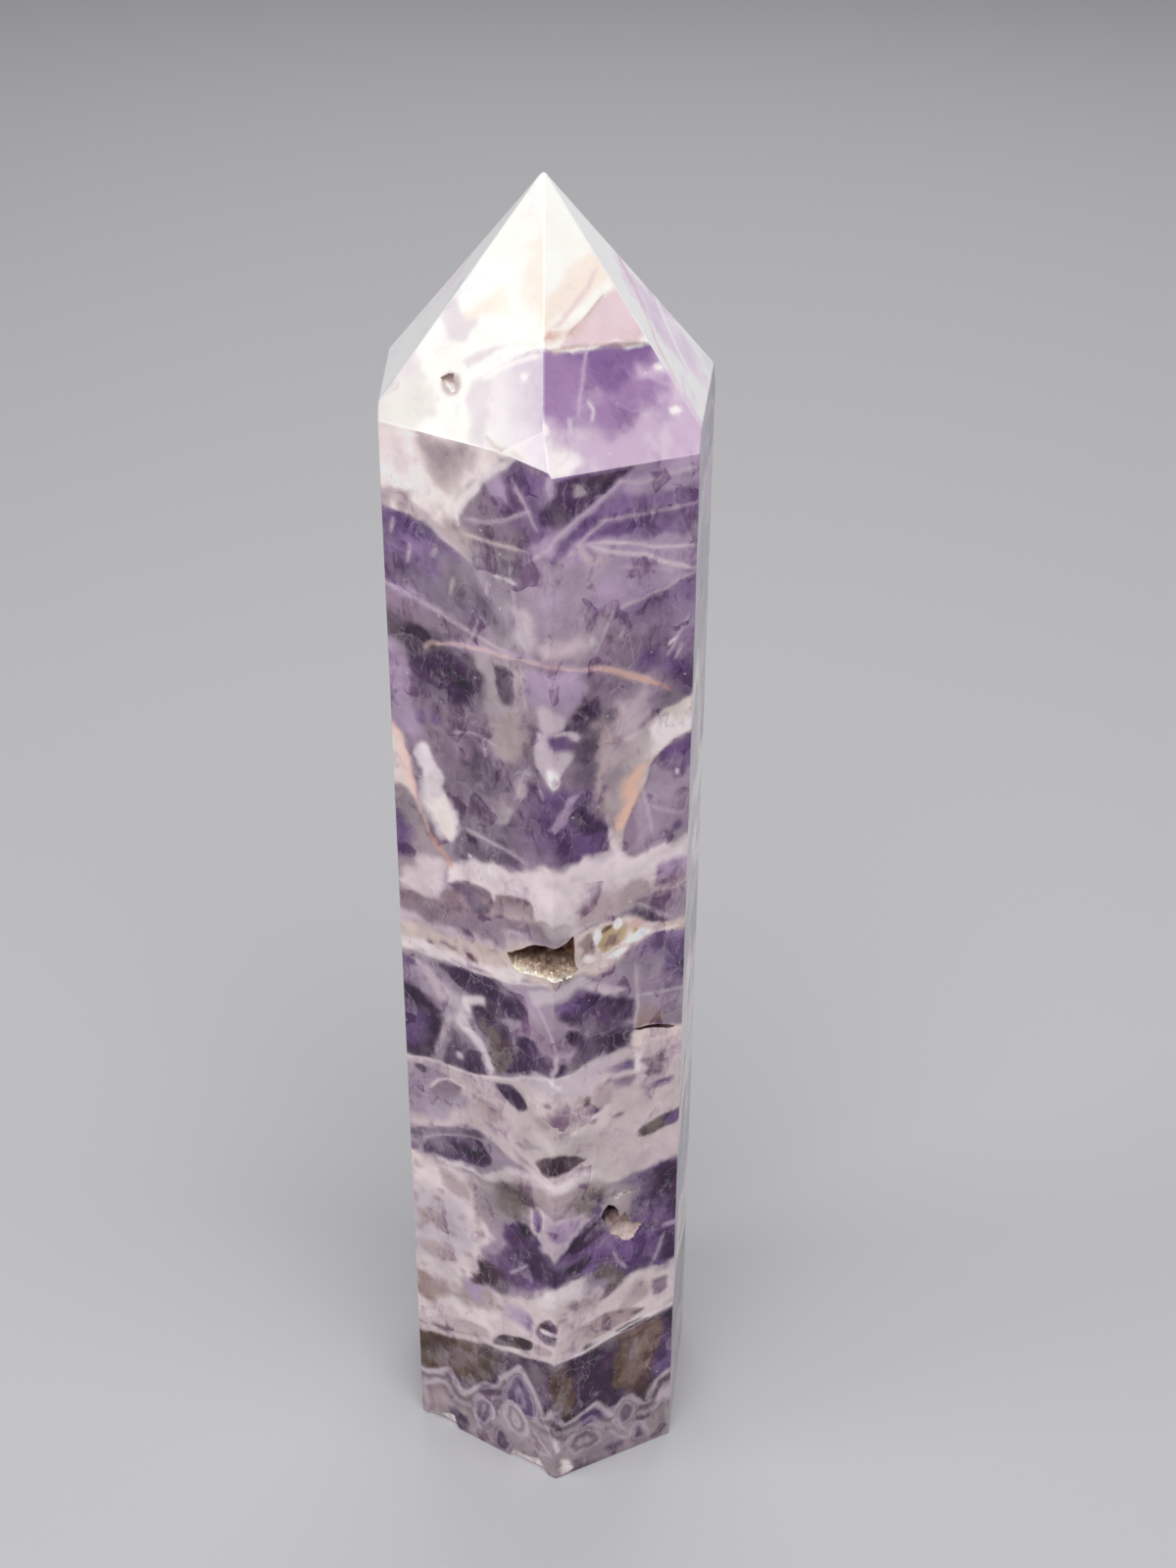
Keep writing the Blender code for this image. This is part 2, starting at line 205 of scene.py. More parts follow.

# Lists of marks. A patch's row has its colour, how softly it ends, for some the way it fades in degrees
# (0 rightwards, 90 up) or the word rings where the quartz grew in layers, and its outline. A line's row
# has its colour, its width and its places. Rows run on in indented lines.
# The milk spot at the foot of the stalk is a painted glint, where a fracture catches the light.
# The white and snow spots in and beside the gold patch are painted glints, where fractures catch the light.
COLUMN_PATCHES = """
# Top third of the column
grey 3.0: -30,128 -30,116 30,116 30,146 -30,146
cream 0.9: -30,176 -5.5,176 -5.5,171.3 -7.4,169.8 -9,168.5 -10.3,167.3 -11,166 -12.4,164.8 -13.5,163.5
  -14.2,161.6 -13.5,159.7 -18,159.5 -30,161.5
moss 3.4: -19.5,172 -11.5,171.5 -13,166.5 -15,164 -17,165.5 -19.5,168.5
moss 2.0: -17,161.5 -14,162 -12,159 -11,155 -13,153.5 -15,157
dusk 1.4: -27,162.6 -20.5,161.8 -18,160.6 -14.5,160.2 -12,157.4 -15,157.7 -18,159.4 -21,160.5 -27,160.5
mauve 1.2: -13.4,163.4 -10.8,166.5 -7.4,169.7 -5.4,171.2 -1,170.5 0,166 -0.5,160 -3,158.5 -12.5,158.5
  -13.4,160
violet 2.4 200: -9,169 -5.5,170.8 0.5,170.5 0.8,166 -0.5,160.5 -4,160 -9,161
lilac 1.0: -9.5,167.4 -7.6,169.2 -6,166 -7.6,163.4
purple 1.5: 0,170 20.5,170 20.5,159 8,159 0,160
deep 0.6: 1.7,169.7 6.3,169.4 10.9,169.3 8.8,167.7 6.3,166 3.8,164.3 1.5,163.2 -1.6,163.8 -1.8,165.6
  -0.3,167 0.1,169.5
ink 0.5 225: 5,169.2 10.8,169.1 8,168 5.5,167 4.2,167.6
mist 0.4: 2.7,168.6 3.8,168.5 4.8,167.2 2.9,167
lilac 0.4: 0.1,170.4 0.6,168.2 -0.1,167 -0.9,168.6 -0.6,170.4
lilac 1.4: 10.5,168.9 20.5,169.4 20.5,166 12,165.8 9.5,166.8
purple 1.4: 11,165.4 17,165.6 20.5,164.6 15,163.8
lilac 1.0: -4,157.4 0,160.6 4,163.4 8,166.2 10.8,168.7 8.6,168.2 4,165 -0.5,162.4 -3.6,160
violet 0.8 30: 0.5,161.6 4.7,164.3 8.8,166.8 10.3,166.2 7.2,163.9 3,161 1.7,159.7
violet 1.3 0: 6.5,162.8 12,162.9 16.5,162.7 16.5,160.8 13,160.2 9.3,160.4 5,160.8
lilac 1.2: 3,160.8 7,160.6 12,159.4 20.5,158.8 20.5,153.4 14,154.4 9,155.8 4,157 1.5,158.6
blush 1.4: 4,159.6 7,159.2 7.4,157.2 4.6,157
fog 2.2: -3.5,158.5 3,157.6 9,156.2 9,151.5 4,149.5 -1,149.5 -5,153
lilac 1.4: 8,156.2 20.5,153.6 16.8,152.6 12.2,151.4 8.4,150.4 5,151 5.5,156
purple 0.45 235: 8.4,150.3 12.2,151.3 16.8,152.5 20.5,153.4 20.5,142 16,141 12,143 9.6,147
mauve 0.8 0: 8.2,149.6 11.7,147 12,144 6.3,144.3 6.6,147
blush 3.0: -1,148 3.4,148 5,145.6 2,144.8 -2,144.8
pale 2.6: -6.4,152 -3.6,152 -2.6,147.4 -4.4,144.6 -6.4,147
violet 0.5 268: -27,160.2 -20.8,159.8 -18,158.8 -16.2,157.8 -14.1,156.8 -12.4,155.6 -11.2,154 -9.9,152.6
  -8.3,150.6 -7.2,148.5 -7,145 -12,145.4 -20.8,147.5 -27,148.6
purple 2.0: -26,156 -21,157 -16.5,155.5 -16,152.4 -20,153.4 -26,153.4
deep 2.4: -15,154 -10,151.6 -9,149.5 -12,149.4 -16,151
smoke 2.0 215: -15,155.4 -12.2,155 -9.6,151.8 -6.6,147.4 -9,146.4 -14,150.4
lilac 1.6: -27,150.8 -19,148.8 -14.5,147 -14.5,146 -20,147 -27,148.6
mauve 1.2: -27,148.6 -20,147.2 -14.5,146.2 -7,145.2 -2,145 -2,143.4 -12,142.8 -20,143.5 -27,145
smoke 1.4: -27,145.5 -20.5,144.2 -16,143.3 -12,143.4 -9,140 -12,135 -20,134.5 -27,137
lilac 2.0: -27,142 -22.8,141 -21.6,134 -21.8,126 -24,128 -27,129.5
mist 1.8: -12,144.2 -2,144.4 -3,139 -4.5,130 -9,129 -11,136
smoke 0.6: -8.8,142.6 -6.4,142.9 -5.6,140 -6,137.4 -7.8,137 -8.6,139.6
mauve 1.6: -17,134 -11,135 -9,131 -10,126 -16,127
smoke 1.4: -19.4,133 -16.8,134 -16.6,131 -18.6,130
smoke 1.4: -12.8,130 -10,130.4 -8.8,126 -11,123 -12.6,125
moss 1.6: -8.5,136.5 -4.4,136 -4,131 -6,129 -8.4,130.4
ink 0.7 250: -22.9,143.2 -20.5,144.3 -19,143.8 -17.9,142.9 -19.4,141.2 -21.3,140.2 -22.7,141.9
deep 0.5: -22.6,137.9 -20.8,139.3 -17.8,141.5 -16.2,142.2 -13.7,141.4 -10.8,140.8 -10.5,138.9 -11.8,137.3
  -12.4,135.2 -14.1,134.8 -16.2,135.4 -18.2,136 -20.8,136.6
ink 1.4: -20,139 -15.5,140.6 -12.6,139.6 -13,137.4 -18,137
lilac 0.6: -4,143.4 3,143.5 5.6,140.4 3,137.8 1.5,136.5 0.8,135.4 -1.8,135.5 -2.6,138 -4.6,140
deep 0.5 300: 6.4,139.2 4.6,138.6 2.4,136.8 1.1,135.4 2,134 4,134.2 5.4,131.6 6.8,133 7.2,136
grey 1.2: 3,143 12,139.5 16,137 16,134 10,131 7,131.5 7.5,137
blush 2.0: 8.8,138 13,137 14,133 10.6,131 8.8,133
violet 1.8: 12,143.4 18,141.6 20.5,139 20.5,136 17,137.4 12,140.6
haze 1.0: -2.8,137.6 -0.8,139 2,137 1,135.4 -1,134.9 -2.6,135.8
haze 0.4: -2.2,135.2 -1,134.9 2,135 3.6,134.2 4.2,132.4 2.5,130 1,128.3 0.3,127 -1,127.2 -1.5,128.5 -3,129.6
  -2.8,132
violet 0.9: -1.4,134.6 2.4,134.4 4.6,132.4 3.2,131.4 0.6,132
milk 0.8: -1.4,129.6 0.2,130.2 0.7,128.6 0.2,127 -0.6,127.3
smoke 1.2: 4,134 8,131 7.5,126 6,125 2,128
dusk 1.8: 6.4,136 9.6,132 8.6,126 7.4,120 6.6,121 6.4,128
smoke 1.2: -11,127.4 -8.7,127.4 -8.2,122.6 -11,122.7
violet 1.0 200: -4.5,126 -2,127 1,127 5,125.5 6.5,122 7.8,117.5 6.5,115.2 3,114.5 -1,114.5 -5,115.5
  -8.8,116.9 -9.6,118.4 -8,120.1 -5.3,121.3 -4.8,124
violet 1.0: -1.4,124 2.2,123.6 4.4,121.4 6,118.5 5.6,116.4 2,116.2 -1.4,119.5
lilac 0.4: -0.9,120.2 0.2,122.6 2,124.6 4.4,125.6 2.8,123.6 1.8,121.4 0.6,119.8
deep 1.2: 2.6,122.6 6,122 7,118.4 4.6,119
mist 0.5 160: -10.4,118.4 -8,119.2 -5.4,121.6 -4.3,125 -2.8,128.8 -5,127.6 -7,124.4 -9.6,121
peach 0.45 165: 22,136.4 16.3,134.6 13,133 10,131.4 8.4,128.6 7.4,124.3 7.3,121.4 7.8,118.6 8.6,116
  9.7,113.9 10.1,110.6 10.2,111 10.3,116 10.5,118.5 11.3,120.6 13,123.5 14,126 15.1,127.9 17.2,129.3
  22,130.6
milk 1.6: 22,133.6 16,131.8 13,129 14.6,128.6 17.4,130 22,131
ember 1.8: 14.2,127.6 12.6,127.8 10.6,124.6 9.3,121 9,118.4 10.2,118 11.6,121.2 13.2,124.4
violet 0.45 262: 15.1,127.9 17.2,129.2 22,130.5 22,122 18,122.3 16.7,124.4
fog 0.5: 14.4,127 16.2,125 22,124 22,115.5 17,113.6 14,112.8 12.4,116.2 11.8,120.2 13,123.4
mauve 0.5 0: 11.1,120.3 12.5,118 13.5,114.5 12.5,112.7 10.6,111.3 10.3,114.5 10.4,118.2
violet 0.6: 17.4,125.4 19.4,126 19.2,123.4 17.6,123.6
warm 1.6: -27,131 -24.6,128 -23.3,125.2 -22.4,120 -21.4,116 -24,118 -27,119
pearl 1.0: -21.8,125.2 -20.1,127.7 -18.7,126.4 -16.6,123 -17.2,121 -15.8,119.3 -14.5,117.2 -15.4,115
  -18.2,112.6 -20.1,114.3 -21.4,118.9
cream 1.2: -20.5,118.6 -17,119.6 -15,117 -16,115 -18.4,113.4 -20,115.4
agate 1.6: -27,118.8 -22,118.4 -20.5,114 -18.8,111 -17,107.5 -19,103 -27,103
violet 2.6: -27,116 -24,114.4 -23,109 -27,106
cloud 2.2: -22,108.6 -18,109.4 -17,105 -20,103 -25,103.4
smoke 1.4: -16.6,115 -12,117 -8,116.5 -4,115 -7,112 -15.5,111.3
ink 0.7: -13.9,115.8 -11.9,115.6 -12,114.4 -13.6,114.4
# Middle of the column: the white band and the pocket's band
cloud 1.2: -16.5,109.8 -15,111 -12,111.6 -7,111.7 -3.7,113 -0.3,114.6 3,114.1 5.5,115.2 8.8,115.6 11,113.5
  15,113 22,114.5 22,106 12,105.6 3,103.6 -4,104.6 -16.6,104
dusk 1.6: 3,107 8,108.4 13,109 22,109 22,106.4 14,106 8,104.6 3,104.4
taupe 0.4 285: -27,97.7 -21.2,97.3 -16.6,98.1 -11.6,99.1 -8.3,99.8 -4.5,101.8 -0.3,102.7 2.6,103.1 3,104.8
  1.8,105.8 0.3,105.4 -1.6,106 -2.8,105.2 -3,107.7 -3.7,108.3 -9.1,107.3 -9.7,106 -10.3,107.3 -14.5,107.3
  -16.6,105.6 -18.7,102.7 -22.8,102.5 -27,101.2
smoke 1.2: -16.6,104.8 -14,106.8 -10.6,106.8 -9.8,105.2 -12,103.8
haze 1.4: -27,98.6 -21.2,98.2 -16.6,98.8 -11.6,99.8 -8.3,100.4 -4.5,102.2 -5,101 -9,98.6 -16,97 -27,97
beige 0.9: -27,97.4 -21.2,97 -16.6,97.6 -11.6,98.4 -8.3,99.4 -4.5,101.5 -0.3,102.6 2.6,103 7,103.4 12,103
  16,100.8 20.5,100.5 20.5,99 14,99 10.9,98 8,95.5 4.7,95.6 2.2,95.8 -1.2,95.6 -4.1,94.3 -6.6,93.5 -9.1,93.3
  -13.7,92.9 -17.4,92.9 -27,92
cloud 1.0: -27,94 -17.4,94.6 -9,94.8 -5,95.6 -4.1,94.3 -6.6,93.5 -9.1,93.3 -13.7,92.9 -17.4,92.9 -27,92.2
warm 1.0: 3,103 7,103.6 12,104.4 15.4,103.4 16.4,101.4 13.4,99.4 10.4,97.6 7,96 3.4,96.2 3,99.5
rosy 1.0: 3.4,102.4 5.4,102.6 6,99.6 5.4,97.4 3.9,97.2 3.6,99.5
gold 0.5: 6.4,100.4 6.7,102 7.6,103.2 9.9,103.1 11.1,101.9 10.9,99.8 9.9,98.6 7.4,98.3
umber 0.3: 6.9,101.9 7.9,103 9.2,102.9 8.4,102.3
tan 0.3: 7.4,99.9 8.3,101.6 9.6,101 9.2,99.6
white 0.3: 8.8,103 9.7,104.2 10.4,102.8 9.6,101.9
snow 0.3: 5.9,101.5 6.4,103 7.1,102.5 7.2,101.3 6.4,100.3
rusty 0.5: 11,102 12.6,103.4 13.8,102.6 13.2,101.2 11.4,101
white 0.25: 10.6,99.2 11.9,100.9 13.4,100.9 14.8,100 12.6,99.2
milk 0.5: 4.2,98.3 4.6,99.4 5.6,99 6.6,97.9 5.3,97.4
snow 0.3: 8,97.6 9.8,98.6 11.2,98.5 9.6,97.3
gold 0.3: 11.6,100.1 12.4,101.7 13,100.8
tan 0.25: 5.2,101 5.9,102 6.1,100.8
mauve 0.4 330: 12,105.6 16.8,106.2 22,106.3 22,102.8 18.4,101.6 17.2,101 14.7,103.8
smoke 0.7: 12.4,105 15.2,103 17.5,101 16.5,100.9 14,102.4 11.8,104
lilac 1.0: 15,110.7 22,111 22,108 15.5,107.9
purple 0.9 215: 12.6,97.8 14.7,99.2 17.2,98.5 22,98.9 22,88.5 16,88.9 13.2,89.5 12.8,94
violet 1.6: 16,97.4 22,98 22,91 17.6,92
fog 1.4: 12.8,94.3 16.4,94 16.6,90.6 13,90.2
tan 0.6 110: 13.2,88.5 15,88.3 17,85 17.5,83.5 12.8,84 12.4,86
fog 1.4: 15.4,88.6 22,88 22,84 18,83.6
warm 0.7: 12,83.6 16,83 20.5,81.8 22,81.5 22,79.5 12.5,80
fog 1.2: -6,94.4 -2,95.4 2.4,95.4 6,95 12,94.4 12.6,90 8,91.8 4,92.9 0,92.4 -2.4,88 -5,88.4
pale 1.0: -4.4,93.4 0,95 3,95.8 7,94.6 12.4,90.6 9,91.2 5,93.4 1,93 -2.8,91
deep 0.7: 0.6,92 4.5,92.6 7,91.8 10,90.8 12.6,89.6 13,87.6 12.5,85.6 10,85.5 7,85 4.4,86 3,87.6 1.4,88.4
  0.2,90
violet 1.4: 0.6,92 4.4,92.4 5,90.4 3,89 0.4,90
ink 0.8: 1.8,86.8 3.6,86.4 5.2,85 4.2,83.6 2.6,84.6
haze 1.0: -5.5,87.4 -3,87.2 -3.2,84.4 -5.2,84.2
deep 0.6: -20,91.8 -15,92.4 -9,93 -6.2,91.8 -5,90.5 -4.2,89 -4.8,87.5 -9,86.3 -11,87 -11.3,88.2 -14.5,88.6
  -16,89.4
violet 0.5 250: -27,90.8 -23.7,91 -22.8,90 -23.5,88.8 -27,87.6
fog 1.2: -25.5,88 -21,90.3 -17,88.8 -15.3,86 -17,82.5 -19.6,83.6 -23.5,86.2 -27,86.2
deep 0.5: -23.6,86.2 -21.5,84.5 -19.6,83.5 -18,81.8 -18.5,80.5 -19.8,77.5 -21,74.5 -24,73 -27,72.6 -27,84.8
violet 1.8: -27,82 -23,82.6 -21,79 -23,75 -27,75
deep 0.5 90: -16.2,81.6 -14.5,80.8 -12.8,78.9 -11.6,77.3 -11,75.2 -14.5,74.3 -18.7,74.1 -19.1,74.8
  -18.3,77.7 -17.2,79.8
pale 0.6: -16.6,77.3 -15.5,77.4 -15.4,76.3 -16.4,76.2
deep 1.0: -14,86.4 -9.5,86.4 -7,85.5 -6.6,82 -9,80.6 -12,82
olive 1.6: -12,84 -9.5,84.5 -7.5,83 -7,80.5 -8.2,77.5 -10.2,76 -11.2,77.5 -12,80.5
deep 0.7: -6,84.4 -3.5,84.6 -1.2,83.6 0.6,82 2.4,80.4 -2.5,79 -5,78.3 -8.5,77.2 -7,80
mauve 1.4: -4.5,88.5 -2.2,87.5 1,86.6 1.2,83.5 -1,83 -3.5,84.3 -6,84.4
ink 0.4: 0.2,81.6 1.6,81.9 2.6,80.6 1.9,79.8 0.4,79.8
deep 0.7: 3.6,85.4 6,86.2 11.7,84.9 11.9,82 10.5,80.8 7,80 3,80 2.6,82
pale 2.4: -20,90 -16,86.5 -13.6,87.5 -13,84 -15,83 -17,84 -20.6,87.8
pearl 0.9: -15.2,88 -11.2,88.3 -11,87 -13,86.6 -14,85 -15.4,86
# The pale bands below
band 0.6: -27,72.1 -21.6,73.9 -18.7,74.1 -14.5,74.5 -11,75.1 -7.4,76.6 -3.7,78.5 -1.2,79.3 2.2,79.8 6.3,80.6
  10.5,81 22,80.5 22,58 10,57 4,59 -3,60 -14,65 -22,61 -27,60
fog 2.6: -27,72 -20,73 -15,70 -18,65 -22,62.4 -27,61
haze 1.6: -6,77 2,79.4 10,80.5 9,77 3,75.4 -3,75
band 3.0: -9,71 -3,75 4,74.6 9,70 12,64 8,61 2,66 -4,66 -9,66
chalk 1.6: -6,74 -1,76 2,75 -1,73 -5,72
chalk 1.8: 2,70 8,72 11,70 7,67.6 2,68
dusk 1.6: -4,71.6 0,72.4 3,70.6 -1,69.4
dusk 1.4: 6,75.4 9,74.4 9,71.4 5.6,72
dusk 1.6: -13,69.6 -10,70.6 -7.6,67.6 -12,66
chalk 1.4: -4,68.6 2,68 6,66.4 1,66.4 -3.6,66.8
smoke 0.3: -24.2,71.3 -22.8,72.2 -22,72 -22,71 -22.8,70.6
deep 0.4: -10.3,74.5 -7.4,75.4 -5.3,74.4 -4.4,72.6 -5.6,71.4 -7.6,72
mauve 0.5 290: -21.5,68.5 -20,70.5 -18,71.5 -15.8,71 -16.5,69.5 -18,67.5 -19.4,65.5 -20.5,66.5 -21.4,67.5
violet 1.0 200: 7,77.6 11,79 12.7,78.5 12.6,77 9,76.4
milk 0.8: 12.8,80 13.8,80 13.5,76.1 12.7,76.2
mauve 1.0 240: 9,75.8 12.6,75.5 12.2,73.5 9.4,73.7
agate 1.2: 14,78.9 18,78.6 17.6,74.9 14.4,74.8
purple 0.7 180: 14,72.4 16,73.2 19.4,73.6 19,72.4 16.4,71.8 14.2,71.6
olive 0.4: 13.2,65.2 15,66 17,66.8 22,67.1 22,65.1 18,64.3 15.5,63.8 13.5,64
violet 0.8: 17,66.7 22,67.1 22,65.1 18,64.4
mist 0.5 180: -7.3,66.5 -6.3,67.2 -3.5,66.2 -2,66.2 -4,65 -6.5,64.6
mist 0.8: -7.4,63.4 -5,63.2 -4,61.4 -6,61.8
smoke 0.35: -27,58.4 -22.8,60.2 -20.3,61.6 -16.6,63.4 -13.9,64.3 -12,63.7 -12.4,62.9 -15.3,61.8 -19.5,60
  -23.2,58.3 -27,57
deep 0.35: -23.2,57.7 -20.8,59.3 -17,61.2 -12.8,62.5 -11.6,61 -10.4,60.2 -11,58.8 -12.4,58 -16.6,57.1
  -20.8,56 -23.4,55.4
ink 0.8: -20,58.6 -16,60.8 -13,61.4 -12,59.8 -13.4,58.8 -17,57.8
cloud 1.0: -20,55.3 -12.4,57 -8.3,59.4 -3.7,60.6 2,61.4 8,60.6 8,58.6 -3.5,57.8 -12,56 -20,54.8
plum 0.35: -3.5,63.1 -2,64.5 0.5,65.6 3,64.5 5.3,63.5 3.8,62.9 2.2,62 0.3,62 -1.2,61.1 -2.4,61.4 -2.8,62.3
soot 0.6: -2.4,62.4 -1,64 1.2,64.4 1.4,62.6 -0.6,61.8
moss 3.4: -15,54 -9.5,58.6 -4,59 4,57.8 8,58.6 9,54 4,53 0,55 -5,51 -13,48 -17,50
olive 3.0: -11,55.6 -8,57.4 -4,57 -3,53 -6,51 -11,51.8
olive 1.8: 2.6,57 8.5,58 10.5,54.6 6,52.8 3,54
chalk 1.2: -27,55.6 -22.8,54.4 -20,54 -14,54.8 -12,52 -12,46 -12.5,40 -14,36 -17,31 -27,31
pale 2.6: -27,50 -20,50 -15,46 -14,40 -18,34 -27,33
agate 2.4: -15.4,54.4 -10.3,54 -9.8,46 -14.5,45.5
violet 1.4: -9,49.4 -7,50 -4.8,49.4 -2.5,48 0,48 3,50.4 6,53 9,56 12,57.8 16,58.4 22,58.5 22,37 17,36.4
  11,37 6,40.5 2,41.2 -1.5,40.5 -3.5,38 -8,36 -10,34 -13,35 -14,38 -11.5,39.5 -9.5,42.5 -9,46
deep 1.8: -9,47.5 -5,48.6 -1.5,45 0.5,43.5 4,41.3 -1,41.6 -4,39.5 -8,37.2 -11,36.8 -9.5,41
ink 1.0: -6.6,50.6 -4.2,50.3 -3.7,48.5 -6,48.2
ink 0.7: 1.5,47.3 3.6,49 6,50.9 7.8,51.4 8.6,49.5 8,47.2 5,46 2.5,46
ink 0.9: 1.2,43.2 3.5,44.6 5.6,44.3 5.5,42.8 3.5,42 1.8,42.2
haze 1.0: -4,54.4 0,54 4,53.6 5,51.4 3,50 1.6,47 0,45.6 -1.8,46.4 -2.6,49 -4.2,50.4
lilac 0.7: -1,53.4 3.6,53 4,51 1,48.6 -0.6,50
purple 0.4: -3.6,53.8 -2.6,54.2 -2,52.6 -2.4,50.2 -3.2,50 -3.8,51.8
agate 1.2: 8.6,57.4 13,56 13.6,51 13.2,45.5 10,45.5 8.4,48 7.9,53
dusk 1.2: 9,54.6 12.8,54.8 13,49 13.6,45.8 10.6,46 10.6,50
deep 1.8: 13.6,57.2 17,58 22,57.5 22,45.6 18,45.3 15,45.8 13.8,49 14,53
ink 2.2: 15.6,55 20.5,55.4 20.5,51 17,50.4
purple 1.8: 14,50 17.4,50.4 19,46.6 15,46.6
lilac 0.5: 17.8,45.7 20.5,45.6 20.5,44.6 18,44.8
violet 1.4: 10,45 17.5,44.5 17.4,38 12,37.2 9,40
deep 0.7: 17.2,44.6 22,45 22,37.8 17.6,38
olive 1.2: 7,42 9,41.5 11,39.5 11.3,37.5 9.5,35.5 8,34.8 7.3,36.5 8,38.5 6,40
plum 1.2: -13.3,39.8 -10,39.6 -8.8,36 -9.4,34.2 -13,34.4 -16,32.5 -17,31 -15,34
chalk 1.6: -27,31 -17,31 -10,33.8 -6,35.5 -3.5,36 -2,39 0,40.5 2,40.9 4,40.3 5.5,38.5 6.5,36.5 8,34.6
  11,36.5 22,37 22,28.3 15,27.7 5,25.3 -5,23.9 -20,20.1 -27,18.6
moss 2.4: -18,32 -12,33.6 -9,31 -12,28.6 -18,29
lilac 1.6: -17,33 -13.6,33.6 -12.6,31 -15,30.2
lilac 1.8: -9,33.6 -4,33 -4.4,29.6 -9,30
cloud 1.4: -3.5,36 -2,39 0,40.5 2,40.9 4,40.3 5.5,38.5 5,37 1,37.4 -1,35.6
dusk 1.6: 2,36 6,36.6 7.4,34 4,33
dusk 1.6: 11,35.4 15,35.6 15,31.6 11,31.6
rosy 1.6: -25.6,31 -19,31.4 -17,29.6 -20,27.6 -25.6,27
dusk 1.6: -24,38 -19,38 -18,35.4 -23,34.6
dusk 1.4: -24,44 -20,44.6 -19,42 -23,41.4
dusk 1.4: -19.6,53 -16,53 -15.6,50 -19,49.6
mauve 0.8: 16,34.8 18.6,34.9 18.8,31.6 16.4,31.5
mauve 0.4: -3.7,29.3 -3.5,31 -2.2,32.7 -0.9,33.9 0.3,32.7 0.5,30.2 -0.3,28.4 -2.4,27.9
plum 1.4: -2.6,31.8 -1,33.4 0,32 0,29 -1.4,28.6
pearl 0.3: -2.6,31 0.2,31.2 0.3,30.4 -2.5,30
tan 1.4: -25,31 -23,30.8 -21.8,29 -22.2,26.4 -25,26
# Foot
dusk 0.4 200: -24.5,21 -21.8,23.1 -19.9,24.1 -16.6,25 -12.4,25.4 -12,23.1 -14.5,22 -18.7,21.2 -23.2,20.6
soot 0.25: -11.4,23.5 -10.3,25.2 -8.7,26.4 -4.1,27.3 -4.3,25 -7.4,23.9 -11.2,22.9
dusk 0.4: -4,27.2 -0.3,27.2 -0.6,26 -2.5,25.2 -4.2,25
rosy 0.4 200: 0.3,29.3 3.8,30.6 6.3,31 9.3,31.6 13,30.6 15.3,29.5 13,28.7 9.3,27.5 5.5,26.6 3,26.2 0.5,26
olive 0.3: 12.7,29.9 14.5,29.8 15.2,29.4 13.4,28.9
soot 0.25: 9.9,27 12.2,27.7 14.7,27.9 16.1,27.3 13.8,26.6 11.3,26.3
ink 0.6: -27,18.2 -20,19.7 -14.5,21.4 -10,22.5 -5,23.5 -1.5,24.7 5,25 10,26.1 22,28 22,12 16,9 12,11 1,11
  -6,12 -10,13 -17,9.5 -27,9.5
umber 1.6: -29,19 -20,20.3 -15,22 -11,22 -10.3,19 -11,14 -13.5,13 -17,10 -18.5,11 -19.3,12 -22,11 -29,9
olive 2.4: -24,15.6 -18,17.6 -17,13 -20,12 -27,12
ink 1.4: -10.4,22 -6,23 -1,24 -0.8,15.4 -4,17.4 -6,21 -9,18
umber 1.4: -0.4,23.4 3.6,24.4 4,17 2.5,12.6 0,14.4
ink 1.6: 4.2,24.6 9.6,25.4 9.4,19 7,14 3.6,14
brown 1.0: 10.8,26.2 14,27.4 18,27.4 19.5,25 18,22 16.8,19 16,15 15.7,12 15,10.8 13.3,12 12,12.5 10.8,14
  10.2,17
umber 1.8: 10.8,24 13,25.4 13,18 12.6,13 11,14
violet 1.0 90: 18,21.5 20,23.5 22,25 22,14 18.5,13.5 17,13 16.6,16
agate 0.5 rings: -27,9.8 -25,9.5 -22,11 -20,13 -18.5,10.5 -17.3,8.5 -15,11.5 -13,13.3 -11.3,13.8 -10.6,14.5
  -10.3,16.3 -8,18.7 -6.3,20.9 -5.5,19.5 -4,17 -2.3,13.5 -1.8,12.3 -1,14 -0.3,15 0.3,13.5 1.2,11.8 4,12
  7,13.3 8,12 9.5,9.5 10.2,10 11.5,11.7 13,11.8 14,10.5 15.8,9 16.5,11 17.5,13 19,13.8 22,15 22,-3 -27,-3
moss 2.6: -27,8 -22,8.6 -20,5 -24,3 -27,3
fog 0.6 rings: -15.6,8.4 -13.6,10.4 -11.4,9.6 -11.8,6 -13,3.4 -15.4,4.4
violet 0.6 rings: -9.6,13.6 -8.4,17 -6.3,19.6 -5,17.3 -3.4,14.2 -3.6,11 -6.4,9.6 -9,10.8
mist 0.5 rings: -9.8,9 -9.3,11.5 -8,12.6 -6.5,11.5 -5.2,9.5 -5,7 -6.5,5 -8.5,5.8 -9.6,7.5
agate 0.5 rings: 1.6,6.4 3,8.4 5.6,9 8,7.4 8.4,4.6 6,3.4 3,3.6
violet 1.0: 3.6,11.4 7,12.8 8.2,11.5 8.6,9.4 6.5,9 4.2,9.6
mauve 0.6 rings: 10.4,9.4 11.8,11.3 13.2,11 14.4,9.2 13.6,6.6 11,6
mauve 0.6 rings: 13.6,1.4 13.4,4 14.2,5.4 15.4,4.6 16.2,1.6
haze 0.8: 16.8,8.6 18.4,11.6 22,12.4 22,8.6
smoke 0.8: -20.4,3.8 -18.3,4.4 -16.4,3 -16,0 -19.8,0
smoke 0.9 rings: -11.6,5.4 -9.4,5.3 -7.9,2.6 -8.3,0 -11.4,0
smoke 0.9: 2.6,2 4.6,2.6 5.6,0.6 3,0
smoke 1.0: 8.8,2 11,3 11.8,1.4 10.4,0
cream 0.8: 0.8,3.4 2.6,2.6 3.4,0.2 0.6,0.2
"""
